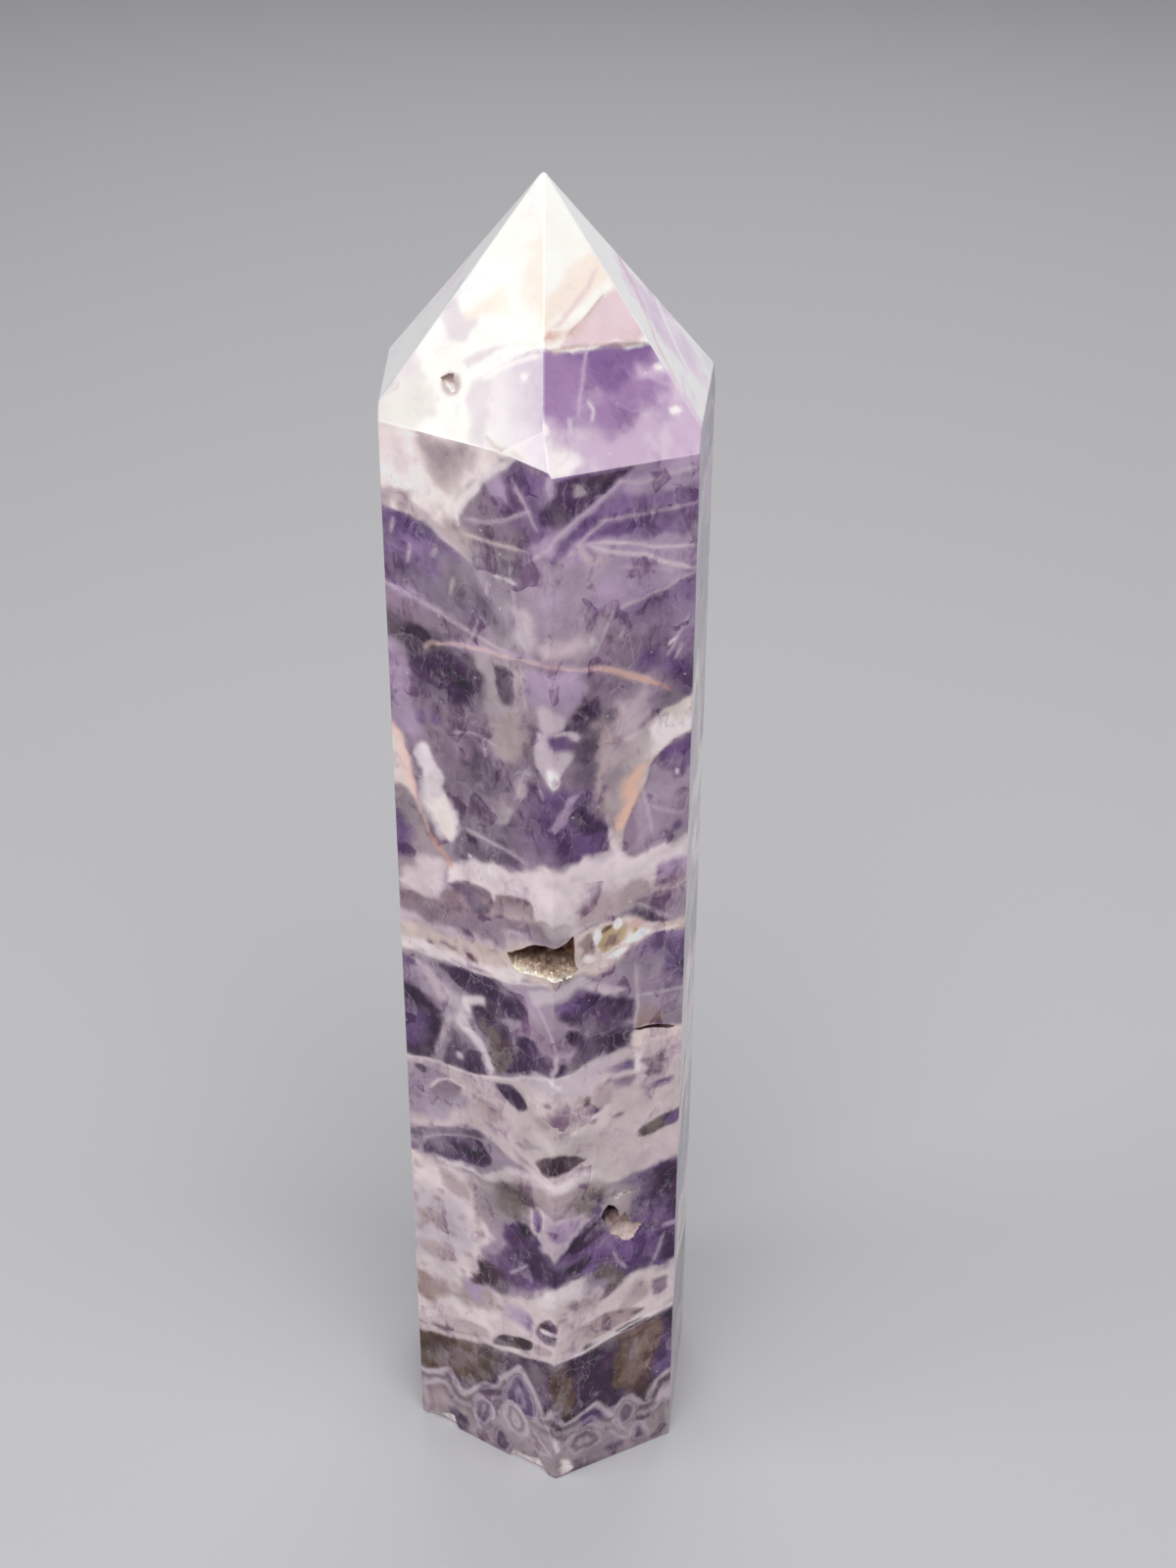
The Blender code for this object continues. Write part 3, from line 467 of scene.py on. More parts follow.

# Small inclusions: colour, how softly they end, and each one's place, width, height and lean in degrees
# The milk specks are painted glints, where fractures and a hollow's ledge catch the light.
INCLUSIONS = """
dusk 0.7: -20.3,54.5,1.4,1.1,0 -24,52.6,1.3,1.3,20 -20.4,49.5,1.5,1.2,0 -23.6,40.6,3.4,1.1,55
  -21.8,37.5,2.2,1.5,0 -22.1,34.9,1.3,1.2,0 -16.6,34.5,1.5,1,0 -13.2,44.4,1.6,1.7,0 -18.3,41.5,1.6,1.8,70
  -17,46,1.3,0.9,0 -12.9,70.3,2.2,1.2,10 4,74.6,1.2,2,20 -25,46,1.2,2.2,10 -15.4,38.6,1.4,1,30
grey 0.5: -23.6,66,1.4,0.8,20 -10.6,69.4,1.4,0.7,0 7,71.6,1.6,1,10 6.2,69.8,1.2,0.8,0 10.2,69.4,1.8,0.8,0
  -1,74.4,1.6,0.8,20 17.6,76.6,1.4,0.9,0 -18,95.6,1.5,0.8,0 -20.6,94.8,1.2,0.7,0 8.4,76.2,1.4,0.8,30
brown 0.4: 5.2,73.8,1.2,1.6,-20 -13.4,95,1.9,1.1,-20 -16.8,95.4,1.6,0.7,0 2,96.4,1.4,0.6,0
tan 0.6: -16,30,1.6,1,20 -10,31.2,1.4,1,0 -21,47.4,1.2,0.8,0 -23.4,43,1,0.8,0 1.2,33.4,1.6,0.8,0
violet 0.6: 18.4,116,1.4,1.6,0 -20.6,131,1.6,2.4,0 -18.4,131.4,1.6,1.8,0 16.8,107.5,1.2,0.9,0
haze 0.5: -24,157.6,0.6,2.4,-15 -21.6,154.4,0.5,3,-8 -15,151.6,0.5,2.6,-10 -17.6,155.6,0.6,1.6,-30
  -9.6,153,0.4,2,-5 5.6,147,0.8,1.2,0 9.8,147.4,0.5,1.8,-20 18,142.6,0.5,2.2,-25 -5.6,140.4,0.5,3,5
  -10.6,129.6,0.5,2.6,10
milk 0.3: 16.9,144.2,1.2,0.5,40 18.2,124.6,0.5,1,15 -6.2,154.9,1.8,0.6,-12 -8,155,1.2,0.4,-5 0,171,1.8,0.7,0
  -20.4,170.8,1.8,0.5,5 -13.4,111.8,0.6,0.6,0 -10.2,110.8,0.5,1.4,0 3.2,68.8,0.7,0.5,0 11.2,54.3,2.2,0.5,-5
"""

COLUMN_LINES = """
milk 1.0: -5.5,171.3 -7.4,169.8 -9,168.5 -10.3,167.3 -11,166 -12.4,164.8 -13.5,163.5 -14,162 -13.7,160.4
pale 0.7: -27,162.2 -20.8,161.4 -18,159.8 -16,158.2 -14,157 -12.4,155.9
warm 0.4: -13,159.4 -8,159.3 -3.7,159.5
haze 0.5: -5.8,168.6 -3.7,165.6 -2,163
haze 0.5: -12.6,161.4 -8,162.4 -3,165.2
haze 0.45: 9.3,167.9 5.9,165.6 2.2,163.5 0.3,162 -0.3,161 -2.4,159.3 -4.1,157.9
pale 0.45: 7.3,163.2 5,161.8 2.2,159.5
haze 0.45: 6.4,163.2 12,162.9 20,162.8
haze 0.45: 9,168 12,167.2 20,167.6
cloud 0.5: 4.6,160.4 9,158.4 13,157.2 16,155.4 20.4,153.6
cloud 0.4: 5,160.8 10,159.6 15,157.8 20.4,156.8
haze 0.4: 9,156.4 13,155.6 17,154.2
haze 0.45: 8.4,150.3 12.2,151.3 16.8,152.5 20.5,153.4
pale 0.4: 8.4,150.3 7.4,148 5.8,145.4
haze 0.5: 19.2,147.4 17.6,144.6 16.3,142.3
haze 0.5: -27,149.6 -18.7,147.8 -14.5,146.6 -10.3,145.4 -4.9,144.8
haze 0.4: -13,143.6 -12,146 -10.6,148.6
haze 0.4: -6.2,157 -5.6,153 -5.2,148
lilac 1.1: -17.4,142.8 -15,143.5 -12,143.9 -8.7,144.2 -4.9,144.5 -2,144.7 0.5,144.7 3.8,143.5 7.2,142.9
rusty 0.5: -17.4,142.8 -15,143.6 -12,143.9 -8.7,144.1 -4.9,144.4
rusty 0.45: -5,144.4 -2,144.6 0.5,144.6 3.8,143.4 7.2,142.7
rusty 0.9: 5,143.4 8,142.4 10.4,141.2 12.6,140 14.6,138.9
rust 0.5: 7,142.8 9.3,141.6 11.3,140.4 13.8,139.1 15.5,138.3 16.8,137
rusty 0.6: -19.8,141.6 -18.4,142.6 -17,142.8
haze 0.35: -4.9,144 -4.4,140 -3.7,136
haze 0.4: -2.2,127.6 -2,126 -1.5,124.8
haze 0.4: -15.6,130.2 -12,131.4 -8.6,130.6
pale 0.4: -3.6,129 -5,126.2 -6,123.4
cloud 0.9: 8.2,118.6 8.8,116 9.7,113.9 10,111
haze 0.6: -14,116 -8,115.2 -4,113.8
haze 0.4: 12.4,124.6 14,120.6 14.6,116
haze 0.35: 14,120.6 18,118.2 21,118
coral 1.1: -25.4,128.6 -23.8,125.2 -22.8,121.6 -22,118
rusty 0.6: -22,118.6 -21.2,116 -19.9,113.1
rust 0.9: -19.9,113.4 -18.7,111.4 -17,110 -16.6,108.6
haze 0.5: 12.4,105.6 14.7,103.9 17.8,101.2
milk 0.5: 7.6,98.5 10.5,99.3 14.3,99.8 19,99.6
cloud 0.5: -27,92.3 -21.6,92.5 -17.4,92.9 -13.7,92.9 -9.1,93.3 -6.6,93.5 -4.1,94.3 -1.2,95.6
haze 0.5: 12.4,95.2 12.8,90.2 13.2,88.5 12.4,84
pale 0.5: 13,89.6 15.9,89.1 22,88.4
haze 0.4: -3,91.6 -1,88.6 0.6,84 0.2,80.4
haze 1.5: -23.5,91 -21.5,89.4 -20,88 -17,85
pearl 1.3: -16.4,84.6 -14.5,82.6 -13,80.6 -11.5,78.2 -10.6,75.6
haze 1.0: -16.6,84 -18,82 -18.8,79.6 -20.4,75.4
pale 0.7: 0.2,83.6 0.4,81.6 -0.6,79.8
milk 0.6: -0.8,79.2 0,78.4 1,77.4
cloud 0.45: -27,72.3 -21.6,73.9 -18.7,74 -14.5,74.3 -11,75 -7.4,76.5 -3.7,78.4 -1.2,79.2 2.2,79.6
cloud 0.4: -21.5,68.5 -20,70.6 -18,71.7 -15.8,71.2
mist 0.25: -27,56.9 -22.8,58.7 -20.3,60 -16.6,61.8 -13.9,62.8 -11.5,62.9
cloud 0.45: -4,54.4 -3.9,51.5 -4,49.5 -3,49.4
cloud 0.3: -3.6,54.4 -2.6,54.6 -1.8,53.8 -2,51
haze 0.4: -4.7,42.5 -6.2,41 -7.8,39.3
haze 0.5: 18.2,44 17.4,41 16.3,38
haze 0.5: 9.7,43.5 10.6,41.5 11.8,39.3
cloud 0.4: -3.8,28.4 -3.8,31 -2.4,33 -0.9,34.1 0.5,33 0.8,30.2
chalk 1.2: -27,18.4 -20,20.1 -14.5,21.8 -10,22.9
chalk 0.8: -10.5,22.8 -5,23.9 -1.5,25 0.5,25
milk 0.5: 0,25 5,25.3 10,26.4 15,27.7 22,28.6
dusk 0.5: 1.5,28 5,28.6 9,29.6 12,29.8
pale 0.8: -10.6,14.5 -10.3,16.3 -8,18.7 -6.3,20.9 -5.5,19.5 -4,17 -2.3,13.5 -1.8,12.3
pale 0.7: -1.8,12.3 -1,14 -0.3,15 0.3,13.5 1.2,11.8 1.5,11
pale 0.8: -17.3,8.5 -15,11.5 -13,13.3 -11.3,13.8 -10.6,14.5
cloud 0.5: -13.4,9.6 -12,9.4 -11.4,7.6 -11.8,5.6
pale 0.5: -9.8,9 -9.3,11.5 -8,12.6 -6.5,11.5 -5.2,9.5 -5,7 -6.5,5
pale 0.8: 1.5,11 4,12 7,13.3 8,12 9.5,9.5 11,6.5 12.5,4.5
pale 0.5: 1.5,6.5 3.5,8.9 6,9.2 8.4,7
pale 0.5: -4.4,10 -2.6,12.2 -1,9.6 -0.4,6.4
pale 0.8: 10.2,10 11.5,11.9 13,12 14,10.6 15.8,9 16.5,11 17.5,13 19,13.8 22,15
pale 0.5: 13.2,2.5 13.4,4.4 14.2,5.8 15.5,4.8 16.5,1
pale 0.5: 17,6.5 18.5,8 22,8.2
pale 0.8: -27,9.6 -25,9.5 -22,11 -20,13 -18.5,10.5 -17.3,8.5
pale 0.5: -27,6.3 -25,6.5 -22.5,8.8 -20.5,9
milk 0.8: 0,9 0.3,7 0.5,5.5
pale 0.5: -4,8 -2.4,6.2 -0.8,4.6 -3.4,3.6
pale 0.5: -15.6,6.2 -14.4,3.4 -14.2,1.2
pale 0.5: 9.4,6.4 11,4 12.8,2.6
"""

# The small snow spot is a painted glint.
# The white over the facet is milky quartz, with a painted highlight where light from above washes it out.
LEFT_FACET_PATCHES = """
white 3.0: -30,202 -30,160 30,160 30,202
frost 0.9: -9.6,186 -6,185.6 -2.4,184.2 -3.4,182.2 -6,181.2 -8,182.9 -14,181 -14,172 -9,170 -11,178
frost 1.4: -14,180 -10,179.4 -7.6,176.4 -8,173 -9,170 -14,169
veil 0.45 215: -1.4,177.5 0.4,178.7 2.4,180.2 5,181.9 8,182.6 13,183.4 14,166 4,167 2.6,172 0,174
frost 1.6: -1,177 2,178 3,175 3,171 0,172
orchid 2.4 180: 8.6,180.6 9.6,182 13,182.6 13,174 10,174.6
frost 0.6: -3.4,179.8 -2,179 0.6,180.2 4.4,182 6.6,182.8 4,182.8 0.6,181.8
white 0.5: -2.4,178.8 -1.4,178 1.4,179.8 5,182 7,182.8 4.4,182.8 0.6,181.2
fern 2.0: -14,171 -12.4,175.5 -8,176.4 -5.5,175 -5.5,171 -9,169
fern 1.4: 3,173 5.4,172.6 7.6,171.4 4,171
sand 2.6: 1.6,190 3,193.3 6,192.5 9,188 7,185 3,187.6
sand 2.0: -3.6,185 -2.4,187 0.6,186 2,184.6
snow 0.5: 5.2,179.9 6.4,179.9 6.2,179 5.2,179.2
warm 0.5: -5.4,177.2 -4.4,178.2 -3,178 -2.4,177 -2.6,176 -3.6,175.6 -4.6,176.2
"""

LEFT_FACET_LINES = """
white 0.5: 0.7,178.4 2.8,179.8 4.6,181.1 7.4,182.2
frost 0.5: -9,186 -11,182.5 -12,179
warm 0.3: 3.2,172.8 5,172.2 7.6,171.6
"""

# The three small snow spots are painted glints.
# The white over the top of the facet is milky quartz, with a painted highlight where light from above washes
# it out.
RIGHT_FACET_PATCHES = """
mallow 3.0: -30,202 -30,160 30,160 30,202
orchid 2.4: -8,186 12,186 9,179.4 9,176 5,173.6 0,173.4 -5,174 -9.4,176
iris 1.8: -4,184 8,184 8,180.6 6,179.4 3,178.4 0,178 -2.4,178.6
orchid 1.6: -9,181 -6.4,183 -4.6,181 -5.6,176 -8.6,176
mallow 1.6: 5,179.6 9,178.6 8.6,177 5.4,178
snow 1.4: -14,174 -10,174 -8.4,172.6 -6,171 -8,169 -14,169
white 0.4: -8,183.4 -6.2,182.8 -4.9,182.4 -1.2,182.1 3,181.8 7.5,181.2 12,181 12,202 -12,202
sand 1.2: 4.4,192.6 6,189.8 5.4,187.9 1.3,186.6 -2.5,185 -5.6,184.6 -3,187.6 0.6,190
blossom 0.5: -2.8,183.4 1,185.2 4.6,187.4 6.8,187.2 8.4,183 7.6,181.5 3,182 -1.2,182.3 -4.6,182.6
coral 1.0 0: -6.4,183 -4.4,184.2 -1.4,184.6 0.8,184.8 -0.4,183.6 -3.6,182.7
mist 0.4 180: -1.6,182.2 0.6,182 4.4,181.7 7.4,181.3 7.4,181 3,181.3 -1,181.8
snow 0.4: 7.4,178.9 8.8,178.8 8.6,178.2 7.4,178.3
snow 0.4: 7.8,174.4 9,174.6 9.6,173.8 8,173.6
snow 0.4: -9.2,175.6 -8.4,175.6 -8.4,174.4 -9.2,174.4
veil 0.4: -5.6,175.6 -5,175.6 -5.4,173.8 -6,174
"""

RIGHT_FACET_LINES = """
white 0.9: -4.5,184.3 -2.6,184.6 0.5,185.9 3,187.2 5.4,188.2
rusty 0.3: -2.8,183.5 -0.8,184.4 1.2,185.4 3.4,186.8
blossom 0.5: -3.4,184.8 -1.4,186 1,187.4 3.6,189.6
rusty 0.3: -6,182.7 -4,182.4 -1,182.2 3,181.9 6,181.6
mallow 0.35: -0.6,182.2 -1.3,181 -2.2,179.5 -3.1,177.6 -4.1,175.6
mallow 0.35: 5.4,178.4 8,177 9.6,176.4
snow 0.3: -2.6,176.6 -2,175.8 -2.6,174.8
"""

SIDE_FACET_PATCHES = """
frost 3.0: -30,202 -30,160 30,160 30,202
snow 1.5: -6,196 -3,190 -4,182 -9,178 -13,182
veil 1.8: -13,187 -8,189 -5,183 -8,178 -14,179
veil 1.6: -4,190 -1,186 0,178 -3,172 -8,174 -6,182
frost 1.2: 0,193 3,188 2,181 4,175 6,171 8,174 6,182 5,190
haze 1.4: 8,184 12,180 13,173 9,172 7,178
mallow 2.0: 6,179 11,176 14,170 10,168 6,171
sand 1.4: -2,199 1,198 2,194 -1,194
"""

SIDE_FACET_LINES = """
snow 0.6: -12,184 -7,182 -2,177 0,171
snow 0.5: -3,192 0,186 5,182 11,180
veil 0.5: -9,178 -4,175 3,176 9,173
rusty 0.4: -5,189 -2,184 3,180 5,176
"""


# Shapes and noise

def direction(turn, slope=90.0):
    turn, slope = math.radians(turn), math.radians(slope)
    return Vector((math.sin(slope) * math.cos(turn), math.sin(slope) * math.sin(turn), math.cos(slope)))


def lifted(places, height=0.0):
    """Flat places as points in space."""
    return np.column_stack((places, np.full(len(places), height)))


def smooth(x):
    x = np.clip(x, 0.0, 1.0)
    return x * x * (3.0 - 2.0 * x)


def lattice_noise(places, seed):
    """Smooth value noise, -1 to 1, at an N x 3 array of places, one cell per unit."""
    cell = np.floor(places).astype(np.int64)
    share = smooth(places - cell)
    total = np.zeros(len(places))
    for corner in range(8):
        step = np.array([(corner >> k) & 1 for k in range(3)])
        at = (cell + step) * SCATTER
        key = at[:, 0] ^ at[:, 1] ^ at[:, 2] ^ (seed * SEED_SCATTER)
        key = (key ^ (key >> 13)) * MIX
        value = ((key ^ (key >> 16)) & 0xFFFF) / 32767.5 - 1.0
        weight = np.prod(np.where(step == 1, share, 1.0 - share), axis=1)
        total += value * weight
    return total


def fractal(places, size, seed, octaves):
    """Noise whose largest features are `size` mm across, with finer and weaker noise on top."""
    total = np.zeros(len(places))
    gain, scale, weight = 1.0, 1.0 / size, 0.0
    for octave in range(octaves):
        total += gain * lattice_noise(places * scale + 17.3 * octave, seed + octave)
        weight += gain
        gain *= 0.5
        scale *= 2.03
    return total / weight


# The CAD's own mesh, and the planes that it was ground to

class Sheet:
    """One ground plane of the stone, with a flat frame on it: mm sideways and mm up along the plane."""

    def __init__(self, normal, points, kind):
        self.kind = kind
        self.normal = normal
        self.reach = float((points @ np.array(normal)).max())
        side = Vector((-normal.y, normal.x, 0.0))
        self.side = side.normalized() if side.length > 1e-6 else Vector((1.0, 0.0, 0.0))
        self.up = normal.cross(self.side) * (1.0 if normal.cross(self.side).z >= 0.0 else -1.0)
        self.origin = normal * self.reach

    def flat(self, point):
        offset = point - self.origin
        return offset.dot(self.side), offset.dot(self.up)

    def solid(self, a, b):
        return self.origin + self.side * a + self.up * b

    def distance(self, point):
        return self.normal.dot(point) - self.reach

    def holds(self, verts, reach):
        return all(abs(self.distance(vertex.co)) < reach for vertex in verts)


def cad_mesh():
    mesh = bmesh.new()
    mesh.from_mesh(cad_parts["amethyst_tower"].data)
    bmesh.ops.scale(mesh, vec=(MM, MM, MM), verts=mesh.verts)
    bmesh.ops.remove_doubles(mesh, verts=mesh.verts, dist=0.0001)
    return mesh


def ground_sheets(mesh):
    points = np.array([vertex.co for vertex in mesh.verts])
    sheets = {name: Sheet(direction(turn), points, "flat") for name, turn in FLATS.items()}
    for name, facing in FACETS.items():
        sheets[name + "_point"] = Sheet(direction(*facing), points, "point")
    sheets["nick"] = Sheet(direction(*NICK), points, "nick")
    sheets["base"] = Sheet(Vector((0.0, 0.0, -1.0)), points, "base")
    return sheets


def meet(first, second):
    """Where two column flats meet, in plan."""
    a, b = first.normal, second.normal
    cross = a.x * b.y - a.y * b.x
    return Vector(((first.reach * b.y - second.reach * a.y) / cross,
                   (second.reach * a.x - first.reach * b.x) / cross, 0.0))


stone_mesh = cad_mesh()
SHEETS = ground_sheets(stone_mesh)
ROUND = ["front_left", "front_right", "right", "back_right", "back_left", "left"]
FOLLOWING = dict(zip(ROUND, ROUND[1:] + ROUND[:1]))
# Each flat's left corner, its width, and where it starts on the chart
CORNERS = {after: meet(SHEETS[before], SHEETS[after]) for before, after in FOLLOWING.items()}
WIDTHS = {name: (CORNERS[FOLLOWING[name]] - CORNERS[name]).length for name in ROUND}
STARTS = {"front_left": -WIDTHS["front_left"]}
for before, after in zip(ROUND, ROUND[1:]):
    STARTS[after] = STARTS[before] + WIDTHS[before]
GIRTH = sum(WIDTHS.values())
# The stone's tip before its edges were polished: where three facets' planes meet
TIP_PLANES = [SHEETS[name + "_point"] for name in ("left", "front_left", "right")]
TIP = Vector(np.linalg.solve([plane.normal for plane in TIP_PLANES], [plane.reach for plane in TIP_PLANES]))


def flat_frame(name):
    """A column flat's left corner, in plan, and the way along it."""
    return np.array(CORNERS[name]), np.array((CORNERS[FOLLOWING[name]] - CORNERS[name]).normalized())


def chart(name, points):
    """Chart places of N x 3 points on a sheet."""
    sheet = SHEETS[name]
    if sheet.kind == "base":
        return points[:, :2]
    if sheet.kind == "flat":
        corner, along = flat_frame(name)
        around = (points - corner) @ along + STARTS[name]
    else:
        around = (points - np.array(TIP)) @ np.array(sheet.side)
    return np.column_stack((around, points[:, 2]))


def unchart(name, places):
    """The other way: N x 3 points on a sheet from chart places."""
    sheet = SHEETS[name]
    places = np.asarray(places, dtype=float)
    if sheet.kind == "flat":
        corner, along = flat_frame(name)
        points = corner + np.outer(places[:, 0] - STARTS[name], along)
        points[:, 2] = places[:, 1]
        return points
    side, normal = np.array(sheet.side), np.array(sheet.normal)
    ahead = np.array((normal[0], normal[1], 0.0)) / math.hypot(normal[0], normal[1])
    points = np.array(TIP)[None, :] + np.outer(places[:, 0], side)
    points[:, 2] = places[:, 1]
    out = (sheet.reach - points @ normal) / (ahead @ normal)
    return points + np.outer(out, ahead)


def depth_of(point):
    """How far a point lies under the nearest ground plane."""
    return -max(sheet.distance(point) for sheet in SHEETS.values())


# The polished edges and the hollows are kept from the CAD and cut finer. The ground faces are
# laid again, with a fine mesh whose edges follow the painted outlines.

def strip_ground_faces(mesh):
    """Deletes the ground planes' faces, and leaves the polished edges and the hollows' walls.

    A scrap of a plane that stands alone inside a hollow stays.
    """
    for sheet in SHEETS.values():
        left = dict.fromkeys(
            face for face in mesh.faces
            if face.normal.dot(sheet.normal) > ALIKE and sheet.holds(face.verts, ON_PLANE)
        )
        while left:
            patch = [left.popitem()[0]]
            for face in patch:
                for other in [other for edge in face.edges for other in edge.link_faces]:
                    if other in left:
                        del left[other]
                        patch.append(other)
            if sum(face.calc_area() for face in patch) > SCRAP_AREA:
                bmesh.ops.delete(mesh, geom=patch, context="FACES")


def is_edge_strip(face):
    """Whether each corner lies on or near two ground planes."""
    gaps = [sorted(abs(sheet.distance(vertex.co)) for sheet in SHEETS.values()) for vertex in face.verts]
    return all(second < STRIP_REACH for first, second, *_ in gaps)


def slice_strips(mesh, strips, axis):
    """Cuts strips square to an axis, every EDGE_STEP mm along it."""
    places = [vertex.co.dot(axis) for face in strips for vertex in face.verts]
    parts = list(strips)
    for count in range(math.ceil(min(places) / EDGE_STEP), math.floor(max(places) / EDGE_STEP) + 1):
        place = count * EDGE_STEP
        crossed, above = [], []
        for part in parts:
            spots = [vertex.co.dot(axis) for vertex in part.verts]
            if max(spots) < place + CUT_MARGIN:
                continue
            if min(spots) < place - CUT_MARGIN:
                crossed.append(part)
            else:
                above.append(part)
        geom = dict.fromkeys(crossed)
        for part in crossed:
            geom.update(dict.fromkeys([*part.edges, *part.verts]))
        cut = bmesh.ops.bisect_plane(
            mesh, geom=list(geom), dist=CUT_JOIN, plane_co=axis * place, plane_no=axis)
        parts = above + [part for part in cut["geom"] if isinstance(part, bmesh.types.BMFace)]


def axis_of(strip, axes):
    """The number of the axis that a strip runs along, or None for a short one. The first is upright."""
    longest = max(strip.edges, key=lambda edge: edge.calc_length())
    if longest.calc_length() < LONG_STRIP * EDGE_STEP:
        return None
    along = (longest.verts[0].co - longest.verts[1].co).normalized()
    if abs(along.z) > UPRIGHT:
        return 0
    return 1 + int(np.argmax([abs(side.dot(along)) for side in axes[1:]]))


def cut_edge_strips(mesh):
    """Divides the long polished edges evenly, so that colours can change along them."""
    strips = {face for face in mesh.faces if is_edge_strip(face)}
    inner = [
        edge for edge in mesh.edges
        if len(edge.link_faces) == 2 and all(face in strips for face in edge.link_faces)
        and edge.link_faces[0].normal.dot(edge.link_faces[1].normal) > ALIKE
    ]
    bmesh.ops.dissolve_edges(mesh, edges=inner, use_verts=False)
    axes = [Vector((0.0, 0.0, 1.0))] + [SHEETS[name].side for name in ROUND]
    for number, axis in enumerate(axes):
        chosen = [face for face in mesh.faces if is_edge_strip(face) and axis_of(face, axes) == number]
        if chosen:
            slice_strips(mesh, chosen, axis)


def halve(edge):
    """Splits an edge in the middle, and each triangle beside it in two."""
    ends, faces = set(edge.verts), list(edge.link_faces)
    middle = bmesh.utils.edge_split(edge, edge.verts[0], 0.5)[1]
    for face in faces:
        opposite = next(vertex for vertex in face.verts if vertex not in ends and vertex is not middle)
        bmesh.utils.face_split(face, middle, opposite)


def roughen_hollows(mesh):
    """Divides the hollows' walls and gives them an uneven, broken surface."""
    bmesh.ops.triangulate(mesh, faces=mesh.faces[:])
    long = True
    while long:
        walls = dict.fromkeys(edge for face in mesh.faces if not is_edge_strip(face) for edge in face.edges)
        long = [edge for edge in walls if edge.calc_length() > HOLLOW_STEP]
        for edge in sorted(long, key=lambda edge: -edge.calc_length()):
            halve(edge)
    mesh.normal_update()
    inner = [vertex for vertex in mesh.verts if depth_of(vertex.co) > WALL_DEPTH]
    push = fractal(np.array([vertex.co for vertex in inner]), HOLLOW_GRAIN, SEED, 2) * HOLLOW_UNEVEN
    for vertex, amount in zip(inner, push):
        vertex.co += vertex.normal * float(amount)


def rows_near(order, heights, low, high):
    """The points, of those sorted by height, that lie between two heights."""
    first, last = np.searchsorted(heights, (low, high))
    return order[first:last]


def inside(points, starts, ends):
    """Which points lie within closed outlines, given as the outlines' segments."""
    order = np.argsort(points[:, 1], kind="stable")
    heights = points[order, 1]
    result = np.zeros(len(points), dtype=bool)
    for (ax, ay), (bx, by) in zip(starts, ends):
        if ay == by:
            continue
        rows = rows_near(order, heights, min(ay, by), max(ay, by))
        if len(rows) == 0:
            continue
        crossing = ax + (points[rows, 1] - ay) * (bx - ax) / (by - ay)
        result[rows] ^= points[rows, 0] < crossing
    return result


def distance_to(points, starts, ends, reach):
    """Distance from each point to the nearest segment, up to `reach`."""
    order = np.argsort(points[:, 1], kind="stable")
    heights = points[order, 1]
    result = np.full(len(points), reach)
    for (ax, ay), (bx, by) in zip(starts, ends):
        rows = rows_near(order, heights, min(ay, by) - reach, max(ay, by) + reach)
        if len(rows) == 0:
            continue
        px, py = points[rows, 0] - ax, points[rows, 1] - ay
        dx, dy = bx - ax, by - ay
        share = np.clip((px * dx + py * dy) / max(dx * dx + dy * dy, 1e-12), 0.0, 1.0)
        gap = np.hypot(px - share * dx, py - share * dy)
        result[rows] = np.minimum(result[rows], gap)
    return result


def trace(name, outlines, starts, ends, count):
    """The outlines' places within a rim, and edges between neighbours, which are numbered from `count`."""
    sheet = SHEETS[name]
    places, edges = [np.zeros((0, 2))], []
    for outline in outlines:
        flat = np.array([sheet.flat(Vector(point)) for point in unchart(name, outline)])
        keep = inside(flat, starts, ends) & (distance_to(flat, starts, ends, 1.0) > CLEAR)
        index = np.full(len(flat), -1)
        index[keep] = count + np.arange(keep.sum())
        count += int(keep.sum())
        places.append(flat[keep])
        edges += [(int(a), int(b)) for a, b in zip(index, np.roll(index, -1)) if a >= 0 and b >= 0]
    return np.concatenate(places), edges


def uneven_grid(starts, ends, step, taken):
    """Places in a rim at the corners of slightly uneven triangles, clear of it and of the places taken."""
    low, high = np.minimum(starts, ends).min(axis=0), np.maximum(starts, ends).max(axis=0)
    columns = np.arange(low[0], high[0], step)
    rows = np.arange(low[1], high[1], step * math.sqrt(3.0) / 2.0)
    grid_x, grid_y = np.meshgrid(columns, rows)
    grid_x[1::2] += step / 2.0
    grid = np.column_stack((grid_x.ravel(), grid_y.ravel()))
    stray = fractal(lifted(grid), step * 0.7, SEED, 1) * step * STRAY
    grid += np.column_stack((stray, np.roll(stray, 7)))
    grid = grid[inside(grid, starts, ends)]
    grid = grid[distance_to(grid, starts, ends, 1.0) > RIM_GAP * step]
    if len(taken) == 0:
        return grid
    tree = kdtree.KDTree(len(taken))
    for k, place in enumerate(lifted(taken)):
        tree.insert(place, k)
    tree.balance()
    return np.array([place for place in grid if tree.find((*place, 0.0))[2] > OUTLINE_GAP * step])


